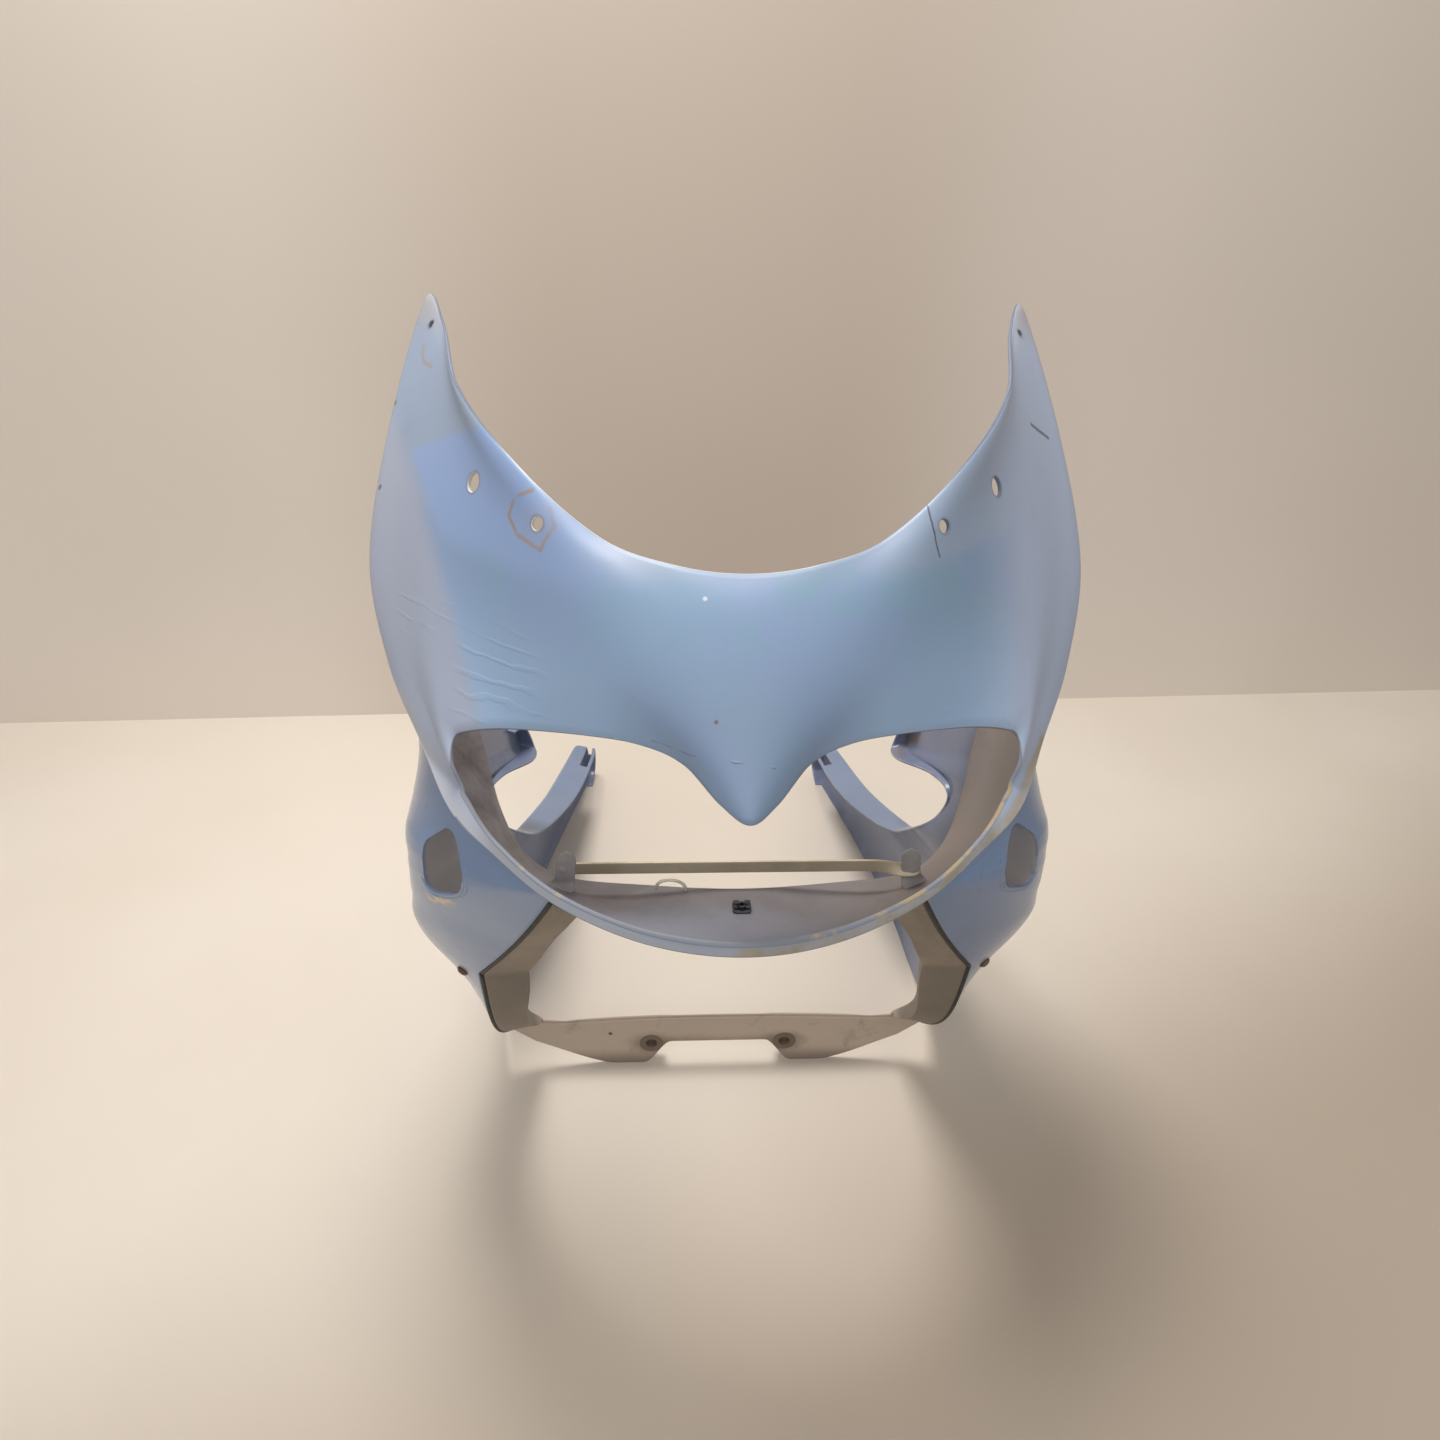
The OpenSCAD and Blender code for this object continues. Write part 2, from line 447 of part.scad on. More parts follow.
module brace_strip() {
    x = tongue_p[0];
    bend = brace_length / 2 - 8;
    color("DarkKhaki") to_frame() translate([0, strip_y + brace_t, 0]) rotate([90, 0, 0])
        linear_extrude(height = brace_t) difference() {
            union() {
                polygon([[-x, strip_z - brace_height / 2], [bend, strip_z - brace_height / 2],
                    [x, strip_z - drop - brace_height / 2], [x, strip_z - drop + brace_height / 2],
                    [bend, strip_z + brace_height / 2], [-x, strip_z + brace_height / 2]]);
                translate([-x, strip_z]) circle(d = brace_height);
                translate([x, strip_z - drop]) circle(d = brace_height);
            }
            translate([-x, strip_z]) circle(d = brace_hole_d);
            translate([x, strip_z - drop]) circle(d = brace_hole_d);
        }
}
module brace_screw(x, z) {
    color("Silver") to_frame() translate([x, strip_y - brace_t - 0.2, z]) rotate([-90, 0, 0]) {
        translate([0, 0, -2.4]) cylinder(d1 = 5, d2 = 8, h = 1.2);
        translate([0, 0, -1.2]) cylinder(d = 8, h = 1.1);
        translate([0, 0, -0.5]) cylinder(d = 4, h = 10);
        translate([0, 0, 2 * brace_t + 0.4]) cylinder(d = 8, h = 3, $fn = 6);
    }
}
module brace_screw_left() brace_screw(-tongue_p[0], strip_z);
module brace_screw_right() brace_screw(tongue_p[0], strip_z - drop);

// clip and wire loop on the chin
clip_p = on_grid(nose_inner, [43.9, 9]);
module chin_speed_nut() {
    color("DimGray") to_frame() translate([0, clip_p[1], clip_p[2] + fit + 0.6]) rotate([-5, 0, 0])
        difference() {
        union() {
            translate([-7, -6, 0]) cube([14, 12, 1.4]);
            for (x = [-6.5, 2]) translate([x, -2, 0]) cube([4.5, 6, 7]);
        }
        cylinder(d = 4, h = 10, center = true);
    }
}
loop_a = on_grid(nose_inner, [41.4, 9.6]);
loop_b = on_grid(nose_inner, [42.3, 9.6]);
module chin_wire_loop() {
    mid = (loop_a + loop_b) / 2;
    r = norm(loop_a - loop_b) / 2;
    color("DarkGray") to_frame() translate([-mid[0], mid[1], mid[2] + fit + 0.5])
        rotate([0, atan2(loop_b[2] - loop_a[2], loop_a[0] - loop_b[0]) * -1, 0]) rotate([75, 0, 0])
        rotate_extrude(angle = 180) translate([r, 0]) circle(d = wire_d);
}

// panel screws and the spring nuts behind them
module panel_screw(at) {
    out = axis_on(panel_outer, at);
    color("Silver") to_frame() place(on_grid(panel_outer, at) + out * fit, out) {
        cylinder(d = screw_head_d, h = 1.4);
        translate([0, 0, 1.39]) cylinder(d1 = screw_head_d, d2 = screw_head_d - 5, h = 1.6);
        translate([0, 0, -13]) cylinder(d = screw_d, h = 14);
    }
}
module panel_nut(at, gap) {
    out = axis_on(panel_outer, at);
    color("DimGray") to_frame() place(on_grid(panel_inner, at) - out * gap, out)
        difference() {
            union() {
                translate([-6, -5, -1.6]) cube([12, 10, 1.6]);
                translate([0, 0, -5]) cylinder(d = screw_d + 4, h = 4);
            }
            cylinder(d = screw_d + 0.3, h = through, center = true);
        }
}
module tip_screw_right() panel_screw(tip_at);
module tip_screw_left() mirror([1, 0, 0]) tip_screw_right();
module foot_screw_right() panel_screw(foot_at);
module foot_screw_left() mirror([1, 0, 0]) foot_screw_right();
module tip_nut_right() panel_nut(tip_at, 2);
module tip_nut_left() mirror([1, 0, 0]) tip_nut_right();
module foot_nut_right() panel_nut(foot_at, 1);
module foot_nut_left() mirror([1, 0, 0]) foot_nut_right();

nose_cowl();
side_panel_left();
side_panel_right();
lower_liner();
bead_upper_left();
bead_upper_right();
bead_lower_left();
bead_lower_right();
brace_strip();
brace_tongue_left();
brace_tongue_right();
brace_screw_left();
brace_screw_right();
chin_speed_nut();
chin_wire_loop();
tip_screw_left();
tip_screw_right();
foot_screw_left();
foot_screw_right();
tip_nut_left();
tip_nut_right();
foot_nut_left();
foot_nut_right();
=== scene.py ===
import bpy
import math
import numpy as np
from mathutils import Matrix, Vector
from mathutils.geometry import convex_hull_2d


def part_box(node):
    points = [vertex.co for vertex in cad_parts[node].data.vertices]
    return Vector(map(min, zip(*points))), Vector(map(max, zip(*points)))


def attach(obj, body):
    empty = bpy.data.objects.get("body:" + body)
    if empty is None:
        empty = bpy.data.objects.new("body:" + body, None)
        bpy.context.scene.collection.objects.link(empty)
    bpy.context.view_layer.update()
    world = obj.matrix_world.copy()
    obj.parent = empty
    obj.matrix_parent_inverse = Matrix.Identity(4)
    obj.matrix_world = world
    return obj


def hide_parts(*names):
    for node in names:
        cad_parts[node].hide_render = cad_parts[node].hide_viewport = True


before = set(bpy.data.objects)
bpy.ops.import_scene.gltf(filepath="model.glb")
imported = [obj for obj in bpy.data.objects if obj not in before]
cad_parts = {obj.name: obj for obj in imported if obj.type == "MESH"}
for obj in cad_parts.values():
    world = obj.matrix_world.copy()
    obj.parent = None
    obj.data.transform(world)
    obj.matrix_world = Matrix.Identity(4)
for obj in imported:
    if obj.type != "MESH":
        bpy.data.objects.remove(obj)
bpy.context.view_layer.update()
MM = 0.001
MIDDLE = 457.0     # the row frame's origin lies under the middle of the length
SKIN = 3.0
FIT = 0.3
SHARP = 38         # degrees between faces above which an edge stays sharp
FACE_OUT, FACE_IN, FACE_EDGE = 0, 1, 2     # kinds of face, each with its material


def new_object(name, data):
    ob = bpy.data.objects.new(name, data)
    bpy.context.scene.collection.objects.link(ob)
    return ob


def new_mesh(name, verts, faces, mats):
    me = bpy.data.meshes.new(name)
    me.from_pydata(verts, [], faces)
    for m in mats:
        me.materials.append(m)
    return new_object(name, me)


# camera
PITCH, YAW, ROLL = math.radians(31.31), math.radians(-3.10), math.radians(1.42)
CAMERA_AT = Vector((-0.0479, -0.9176, 0.9457))
PHOTO_PX, FOCAL_PX, SENSOR = 1440, 929.3, 36.0


def make_camera():
    cam = new_object("camera", bpy.data.cameras.new("camera"))
    cam.data.sensor_width, cam.data.lens = SENSOR, FOCAL_PX / PHOTO_PX * SENSOR
    cam.data.clip_start, cam.data.clip_end = 0.01, 50
    cam.matrix_world = (Matrix.Translation(CAMERA_AT) @ Matrix.Rotation(YAW, 4, "Z")
                        @ Matrix.Rotation(math.pi / 2 - PITCH, 4, "X") @ Matrix.Rotation(ROLL, 4, "Z"))
    bpy.context.scene.camera = cam


make_camera()


# curves and grids, in mm as in the CAD
def vec(*p):
    return np.array(p, float)


def ease(a, b, x):
    t = np.clip((np.asarray(x, float) - a) / (b - a), 0, 1)
    return t * t * (3 - 2 * t)


def unit(v):
    v = np.asarray(v, float)
    return v / np.maximum(np.linalg.norm(v, axis=-1, keepdims=True), 1e-9)


def mix(a, b, t):
    return a * (1 - t) + b * t


def flip(p):
    return p * vec(-1, 1, 1)


def via(a, b, t, *off):
    """Point a share t of the way from a to b, and off from there."""
    return mix(a, b, t) + vec(*off)


def steps(n):
    return np.arange(n + 1) / n


def span(g):
    """Difference between the rows after and before each row, with the ends held."""
    k = np.arange(len(g))
    return g[np.minimum(k + 1, len(g) - 1)] - g[np.maximum(k - 1, 0)]


def curve(knots, t):
    """Smooth curve through points that carry their own station."""
    T = np.array([k[0] for k in knots], float)
    P = np.array([np.atleast_1d(k[1]) for k in knots], float)
    t = np.asarray(t, float)
    S = np.empty_like(P)
    S[0], S[-1] = (P[1] - P[0]) / (T[1] - T[0]), (P[-1] - P[-2]) / (T[-1] - T[-2])
    S[1:-1] = (P[2:] - P[:-2]) / (T[2:] - T[:-2])[:, None]
    i = np.clip(np.searchsorted(T, t, side="left") - 1, 0, len(T) - 2)
    h = (T[i + 1] - T[i])[..., None]
    u = np.clip((t[..., None] - T[i][..., None]) / h, 0, 1)
    a, b, d = 2 * u**3 - 3 * u**2 + 1, u**3 - 2 * u**2 + u, u**3 - u**2
    return a * P[i] + b * h * S[i] + (1 - a) * P[i + 1] + d * h * S[i + 1]


HORN, WIDE, CHEEK, JAW = vec(271, 454, 831), vec(311, 304, 643), vec(250, 165, 546), vec(185, 84, 497)
CHIN, SCREEN_BOTTOM = vec(0, 8, 465), vec(0, 140, 698)
SCREEN_SIDE, SCREEN_UPPER = vec(168, 222, 753), vec(222, 309, 788)
BEAK, BROW, EYE = vec(0, 21, 572), vec(108, 96, 594), vec(217, 139, 565)
LIFT = vec(0, 2, 7)
NEAR_BOTTOM = SCREEN_BOTTOM + vec(50, 6, 4)
NEAR_CHIN = via(JAW, CHIN, 0.66, 7, -8, -15)
RIM = [[-0.08, flip(NEAR_BOTTOM)], [0, SCREEN_BOTTOM], [0.08, NEAR_BOTTOM],
       [0.16, via(NEAR_BOTTOM, SCREEN_SIDE, 0.42, 2, -8, -11)], [0.27, SCREEN_SIDE], [0.36, SCREEN_UPPER],
       [0.42, via(SCREEN_UPPER, HORN, 0.66, -4, 8, 2)], [0.455, HORN], [0.5, via(HORN, WIDE, 0.5, 8, 2, 0)],
       [0.56, WIDE], [0.61, via(WIDE, CHEEK, 0.5, 6, -3, -13)], [0.66, CHEEK],
       [0.73, via(CHEEK, JAW, 0.5, 1, -16, -1)], [0.8, JAW], [0.87, via(JAW, CHIN, 0.28, 3, -10, -14)],
       [0.935, NEAR_CHIN], [1, CHIN], [1.065, flip(NEAR_CHIN)]]


def rim(t):
    return curve(RIM, t)


EYES = [[-0.06, flip(via(BEAK, BROW, 0.2, -2, 2, 2))], [0, BEAK], [0.06, via(BEAK, BROW, 0.2, -2, 0, 1)],
        [0.12, via(BEAK, BROW, 0.42, -2, 10, 10)], [0.2, via(BEAK, BROW, 0.68, -2, 8, 9)], [0.29, BROW],
        [0.4, via(BROW, EYE, 0.55, 4, 6, 4)], [0.48, via(BROW, EYE, 0.88, 2, 4, 4)], [0.55, EYE],
        [0.61, EYE + vec(1, -14, -14)], [0.67, via(EYE, rim(0.73), 0.66, -6, 0, 0)],
        [0.73, rim(0.73) + LIFT + vec(-10, 1, 0)], [0.8, JAW + LIFT + vec(-2, 0, 0)],
        *[[t, rim(t) + LIFT] for t in (0.87, 0.935, 1)], [1.065, flip(rim(0.935)) + LIFT]]
BACK = [[t, WIDE + vec(*off)] for t, off in ((0.56, (-34, -12, -26)), (0.6, (-56, -22, -72)),
                                             (0.66, (-87, -66, -132)), (0.73, (-108, -112, -184)))]
BACK += [[0.8, JAW + vec(-8, 68, -57)], [0.87, JAW + vec(-47, 35, -56)],
         [0.935, vec(70, 96, 452)], [1, vec(0, 84, 458)], [1.065, vec(-70, 96, 452)]]
STATIONS = 44                # the CAD's stations on each half of the nose, from the beak to the chin
FRONT_ROWS, BACK_ROWS = 7, 3
RETURN_START = 26            # station where the return skin starts
SCREEN_HOLE, MIRROR_HOLE, HORN_HOLE = (11, 5.5), (15.6, 4.9), (19.4, 6.65)
STEP = 6                     # fine stations for each station of the CAD
HALF = STATIONS * STEP
FRONT, BEHIND = 42, 15       # fine rows
CROWN = 14                   # how far the front stands proud between the eyes and the screen
SOFTEN = 5.5                 # stations over which the crown is evened out


def front_pt(t, s):
    r = rim(t)
    lift = CROWN * (1 - ease(0.5, 0.66, t))[..., None] * 4 * s * (1 - s)
    lean = unit(np.stack([r[..., 0] / 330, np.full(r.shape[:-1], -0.6), np.full(r.shape[:-1], 0.45)], -1))
    return mix(curve(EYES, t), r, s) + lift * lean


def around(tau, s, make):
    """Points of the closed nose; tau runs 0..2 from the beak over the right half to the left half."""
    tau = np.mod(tau, 2)
    p = make(np.minimum(tau, 2 - tau), s)
    return np.where((tau > 1)[..., None], flip(p), p)


def nose_front(tau, s):
    tau, s = np.broadcast_arrays(tau, s)
    t = np.minimum(np.mod(tau, 2), 2 - np.mod(tau, 2))
    w = 4 * s * (1 - s) * (1 - ease(0.62, 0.7, t))
    total, weight = 0, 0
    for k in range(-9, 10):
        g = np.where(w > 1e-6, np.exp(-((k / (SOFTEN * np.maximum(w, 1e-6))) ** 2)), float(k == 0))
        total = total + g[..., None] * around(tau + k / STATIONS, s[..., None], front_pt)
        weight = weight + g
    return total / weight[..., None]


def nose_return(tau, s):
    tau, s = np.broadcast_arrays(tau, s)
    return around(tau, s[..., None], lambda t, q: mix(rim(t), curve(BACK, t), q))


def grid_normals(g, closed):
    along = np.roll(g, -1, 0) - np.roll(g, 1, 0) if closed else span(g)
    return unit(np.cross(along, span(g.swapaxes(0, 1)).swapaxes(0, 1)))


def shell(outer, inner, keep, closed, trim=None, bulge=0.9, rings=3):
    """Shape and face kinds of a skin with rounded edges: each wall has rings between its two faces.

    Cells marked in trim wear the edge's finish outside."""
    n, m = outer.shape[:2]
    half = n * m
    flat_out, flat_in = outer.reshape(-1, 3), inner.reshape(-1, 3)
    verts = [tuple(p) for p in np.concatenate([flat_out, flat_in])]
    faces, kinds, walls = [], [], []
    has = np.pad(keep, 1)
    if closed:
        has[0], has[-1] = has[-2], has[1]
    for i, j in np.argwhere(keep).tolist():
        i1 = (i + 1) % n
        a, b, c, d = i * m + j, i * m + j + 1, i1 * m + j + 1, i1 * m + j
        faces += [(a, b, c, d), (a + half, d + half, c + half, b + half)]
        kinds += [FACE_EDGE if trim is not None and trim[i, j] else FACE_OUT, FACE_IN]
        for there, p, q in ((has[i, j + 1], b, a), (has[i + 2, j + 1], d, c),
                            (has[i + 1, j], a, d), (has[i + 1, j + 2], c, b)):
            if not there:
                walls.append((p, q, (a, b, c, d)))
    away = {}
    for p, q, cell in walls:
        along = unit(flat_out[q] - flat_out[p])
        thick = unit(flat_out[p] - flat_in[p] + (flat_out[q] - flat_in[q]))
        o = (flat_out[p] + flat_out[q]) / 2 - flat_out[list(cell)].mean(0)
        o = unit(o - along * o.dot(along) - thick * o.dot(thick))
        for v in (p, q):
            away[v] = away.get(v, 0) + o
    ring = {}
    for v, o in away.items():
        ring[v] = [v, *range(len(verts), len(verts) + rings), v + half]
        for q in [math.pi * k / (rings + 1) for k in range(1, rings + 1)]:
            p = mix(flat_out[v], flat_in[v], (1 - math.cos(q)) / 2)
            verts.append(tuple(p + unit(o) * bulge * math.sin(q)))
    for p, q, _ in walls:
        for k in range(rings + 1):
            faces.append((ring[p][k], ring[q][k], ring[q][k + 1], ring[p][k + 1]))
            kinds.append(FACE_EDGE)
    used = sorted({v for f in faces for v in f})
    index = {v: k for k, v in enumerate(used)}
    return ([verts[v] for v in used], [tuple(index[v] for v in f) for f in faces]), kinds


# shapes, each a list of points in mm and a list of faces
def mirrored(shape, side=-1):
    verts, faces = shape
    return shape if side > 0 else ([(-x, y, z) for x, y, z in verts], [tuple(reversed(f)) for f in faces])


def joined(*shapes):
    verts, faces = [], []
    for v, f in shapes:
        faces += [tuple(k + len(verts) for k in face) for face in f]
        verts += v
    return verts, faces


def turned(shape, m, p):
    """Shape turned by a matrix and moved to p."""
    verts, faces = shape
    return [tuple(np.array(m @ Vector(v)) + p) for v in verts], faces


def placed(shape, p, axis, up=(0, 0, 1)):
    """Shape at p with its Z along axis."""
    z = Vector(axis).normalized()
    x = Vector(up).cross(z)
    if x.length < 1e-3:
        x = Vector((1, 0, 0)).cross(z)
    x.normalize()
    return turned(shape, Matrix((x, z.cross(x), z)).transposed(), p)


def turns(sides):
    return [2 * math.pi * k / sides for k in range(sides)]


def skin(rings):
    """Closed shape through rings of points; a ring of one point is a tip."""
    sides = max(len(ring) for ring in rings)
    verts, faces, ids = [], [], []
    for ring in rings:
        first = len(verts)
        ids.append(list(range(first, first + sides)) if len(ring) > 1 else [first] * sides)
        verts += [tuple(p) for p in ring]
    for a, b in zip(ids, ids[1:]):
        for k in range(sides):
            k1 = (k + 1) % sides
            faces.append(tuple(dict.fromkeys((a[k], a[k1], b[k1], b[k]))))
    return verts, faces


def lathe(profile, sides=40):
    """Shape turned about Z through (radius, height) pairs."""
    return skin([[(r * math.cos(q), r * math.sin(q), h) for q in turns(sides)] if r else [(0, 0, h)]
                 for r, h in profile])


def loft(rings):
    """Closed shape through rings of points, with a fan at both ends."""
    return skin([[np.mean(rings[0], axis=0)], *rings, [np.mean(rings[-1], axis=0)]])


def soft_oval(centre, u, v, half_u, half_v, power=0.55, sides=28):
    """Ring of a rounded rectangle in the plane of u and v."""
    ring = []
    for q in turns(sides):
        c, d = math.cos(q), math.sin(q)
        a, b = math.copysign(abs(c) ** power, c), math.copysign(abs(d) ** power, d)
        ring.append(centre + u * half_u * a + v * half_v * b)
    return ring


def tube(path, radius, sides=16):
    """Round bar through points, with rounded ends; radius is one number or one for each point."""
    path = np.asarray(path, float)
    n = len(path)
    d = unit(span(path))
    u = unit(np.cross(d, vec(1, 0.02, 0.03)))
    v = np.cross(d, u)
    r = np.broadcast_to(np.asarray(radius, float), n)
    start, end = d[0] * r[0], d[-1] * r[-1]

    def ring(p, q, i):
        return [p + q * (u[i] * math.cos(w) + v[i] * math.sin(w)) for w in turns(sides)]

    return skin([[path[0] - start * 0.9], ring(path[0] - start * 0.55, r[0] * 0.75, 0),
                 *[ring(path[i], r[i], i) for i in range(n)],
                 ring(path[-1] + end * 0.55, r[-1] * 0.75, -1), [path[-1] + end * 0.9]])


def plate(outline, low, high):
    """Prism of an outline between two heights, in its own plane."""
    n = len(outline)
    verts = [(x, y, low) for x, y in outline] + [(x, y, high) for x, y in outline]
    faces = [tuple(range(n - 1, -1, -1)), tuple(range(n, 2 * n))]
    faces += [(k, (k + 1) % n, n + (k + 1) % n, n + k) for k in range(n)]
    return verts, faces


def hull_outline(centres, r, sides=48):
    """Convex outline round circles of one radius, as hull() draws it."""
    pts = [(x + r * math.cos(q), y + r * math.sin(q)) for x, y in centres for q in turns(sides)]
    return [pts[k] for k in convex_hull_2d(pts)]


# pieces
def to_metres(p):
    """Points of the CAD's unshifted frame, in mm, as object coordinates."""
    return (np.asarray(p, float) - vec(0, MIDDLE, 0)) * MM


def smooth_by_angle(ob):
    me = ob.data
    me.polygons.foreach_set("use_smooth", [True] * len(me.polygons))
    me.set_sharp_from_angle(angle=math.radians(SHARP))


def to_object(name, shape, mats, side=1, kinds=None, smooth=True):
    """Makes an object from a shape; side=-1 mirrors it to the left."""
    verts, faces = mirrored(shape, side)
    ob = new_mesh(name, to_metres(verts).tolist(), faces, mats)
    if kinds is not None:
        ob.data.polygons.foreach_set("material_index", kinds)
    ob.data.update()
    ob.data.validate()
    if smooth:
        smooth_by_angle(ob)
    return ob


def dress(ob, slot, *nodes):
    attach(ob, "root")
    if nodes:
        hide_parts(*nodes)


def cut(ob, cutters):
    """Takes each cutter out of the piece. Its walls get the material of an edge."""
    for shape in cutters:
        kinds = [FACE_EDGE] * len(shape[1])
        tool = to_object("cutter", shape, list(ob.data.materials), kinds=kinds, smooth=False)
        mod = ob.modifiers.new("cut", "BOOLEAN")
        mod.operation, mod.solver, mod.object = "DIFFERENCE", "EXACT", tool
        mod.material_mode = "INDEX"
        done = bpy.data.meshes.new_from_object(ob.evaluated_get(bpy.context.evaluated_depsgraph_get()))
        ob.modifiers.clear()
        old, ob.data = ob.data, done
        name = old.name
        bpy.data.meshes.remove(old)
        done.name = name
        used_up = tool.data
        bpy.data.objects.remove(tool)
        bpy.data.meshes.remove(used_up)
    smooth_by_angle(ob)


def hole_cutter(d):
    """Round hole from outside, with its edge eased at both faces of the skin."""
    r = d / 2
    return lathe([(0, -12), (r + 2.4, -12), (r + 0.6, -3.6), (r, -2.6), (r, -0.8), (r + 0.5, 0.1),
                  (r + 3, 12), (0, 12)])


# nose cowl
TAU = np.arange(2 * HALF) / HALF
NOSE_T = np.minimum(TAU, 2 - TAU)
LIP_REACH = 9      # mm from the lip over which the skins' inner faces turn to meet


def nose_skins(front, back):
    """Outer and inner points of the cowl's front and of the return skin behind its lip."""
    returns = NOSE_T >= RETURN_START / STATIONS - 0.012
    front_n, back_n = grid_normals(front, True), grid_normals(back, True)
    turn = unit(front_n[:, -1] + back_n[:, 0])
    turn[~returns] = front_n[~returns, -1]

    def near_lip(g, lip):
        return np.clip(1 - np.linalg.norm(g - lip, axis=-1) / LIP_REACH, 0, 1)

    def thinned(g, normals, w):
        d = unit(mix(normals, turn[:, None], w[..., None]))
        return g - d * SKIN / np.maximum(0.6, (d * normals).sum(-1, keepdims=True))

    w = np.maximum(ease(0.6, 0.7, NOSE_T)[:, None], near_lip(front, front[:, -1:]))
    inner_front = thinned(front, front_n, np.where(returns[:, None], w, 0))
    inner_back = thinned(back, back_n, near_lip(back, back[:, :1]))
    inner_back[:, 0] = inner_front[:, -1]
    return np.concatenate([front, back[:, 1:]], 1), np.concatenate([inner_front, inner_back[:, 1:]], 1)


BACK_GRID = nose_return(TAU[:, None], steps(BEHIND))
NOSE_OUT, NOSE_IN = nose_skins(nose_front(TAU[:, None], steps(FRONT)), BACK_GRID)


def nose_at(station, row, side=1):
    """Point and outward axis at a place of the cowl, counted in the CAD's stations and rows."""
    def p(i, j):
        behind = j > FRONT_ROWS
        make, s = (nose_return, (j - FRONT_ROWS) / BACK_ROWS) if behind else (nose_front, j / FRONT_ROWS)
        return make(i / STATIONS, s) * vec(side, 1, 1)

    along = p(station + 0.5, row) - p(station - 0.5, row)
    across = p(station, row + 0.4) - p(station, row - 0.4)
    return p(station, row), unit(np.cross(along, across)) * side


def nose_path(*places, side=1, parts=1):
    """Points on the cowl's outer skin along places counted in stations and rows."""
    pts = [nose_at(*places[0], side)[0]]
    for a, b in zip(places, places[1:]):
        pts += [nose_at(*mix(vec(*a), vec(*b), k / parts), side)[0] for k in range(1, parts + 1)]
    return pts


# side panel
ROWS, COLUMNS = 28, 16        # the CAD's rows and columns
UP, ACROSS = ROWS * STEP, COLUMNS * STEP
SEAM_N, CORNER_N = 12, 18     # rows where the seam starts and where it turns
SEAM_CORNER, FOOT, NOTCH = vec(236, 172, 282), vec(246, 292, 66), vec(262, 380, 335)
LOBE, ARM = vec(250, 524, 346), vec(219, 892, 80)
LOBE_TURN, ARM_TURN = 20, 38     # widths of the turned-in rear edge
PANEL_WIDE = 305                 # half of the width across both panels
POD = 0.3                        # share of the way back at which the pod is widest


def under_nose(station):
    """Place for the panel's front edge, a hair off the cowl's return skin."""
    t = np.asarray(station, float) / STATIONS
    along = nose_return(t + 0.004, 1 / 3) - nose_return(t - 0.004, 1 / 3)
    across = nose_return(t, 0.4) - nose_return(t, 0.26)
    return nose_return(t, 1 / 3) + unit(np.cross(along, across)) * FIT


SEAM_TOP = under_nose(RETURN_START + SEAM_N)


def front_edge(v):
    r = v * ROWS
    top = under_nose(RETURN_START + np.minimum(r, SEAM_N))
    t = np.clip((r - SEAM_N) / (CORNER_N - SEAM_N), 0, 1)[..., None]
    middle = mix(SEAM_TOP, SEAM_CORNER, t) + vec(-4, -4, 0) * np.sin(np.pi * t)
    u = np.clip((r - CORNER_N) / (ROWS - CORNER_N), 0, 1)[..., None]
    low = mix(SEAM_CORNER, FOOT, u) + vec(2, -14, -14) * np.sin(np.pi * u)
    return np.where((r <= SEAM_N)[..., None], top, np.where((r <= CORNER_N)[..., None], middle, low))


REAR = [[0, LOBE + vec(0, -34, 8)], [0.08, LOBE + vec(0, -6, 0)], [0.18, LOBE + vec(-4, 0, -34)],
        [0.28, LOBE + vec(-6, -32, -32)], [0.38, via(LOBE, NOTCH, 0.72, 0, -4, 2)], [0.46, NOTCH],
        [0.53, NOTCH + vec(-8, 10, -38)], [0.6, NOTCH + vec(-18, 45, -80)],
        [0.67, NOTCH + vec(-16, 98, -116)], [0.76, via(NOTCH, ARM, 0.56, -2, 0, -53)],
        [0.85, via(NOTCH, ARM, 0.9, 0, 6, -17)], [0.91, ARM], [27 / 28, ARM + vec(-6, 14, -38)],
        [1, vec(ARM[0] - 12, ARM[1] - 20, 0)]]
TURN = [[t, share * LOBE_TURN] for t, share in ((0, 0.4), (0.1, 0.85), (0.28, 1), (0.38, 0.6),
                                                (0.46, 0.25), (0.6, 0.25))]
TURN += [[t, share * ARM_TURN] for t, share in ((0.66, 0.62), (0.72, 0.9), (0.8, 1), (0.9, 0.8),
                                                (0.96, 0.55), (1, 0.3))]
WIDTH = [[0, 0.94], [0.12, 0.92], [0.22, 0.935], [0.32, 0.945], [0.42, 0.93], [0.5, 0.945], [0.56, 0.975],
         [0.62, 0.97], [0.7, 0.91], [0.8, 0.86], [1, 0.835]]


def front_soft(v, u):
    """Front edge evened out the more, the further a point lies behind it, so that the pod has no fold."""
    reach = 1.6 / ROWS * ease(0, 0.3, u)
    total = 0
    for k, g in ((-2, 1), (-1, 2), (0, 3), (1, 2), (2, 1)):
        total = total + g / 9 * front_edge(np.clip(v + k * reach, 0, 1))
    return total


def hump(u):
    return u / POD * np.exp(1 - u / POD)


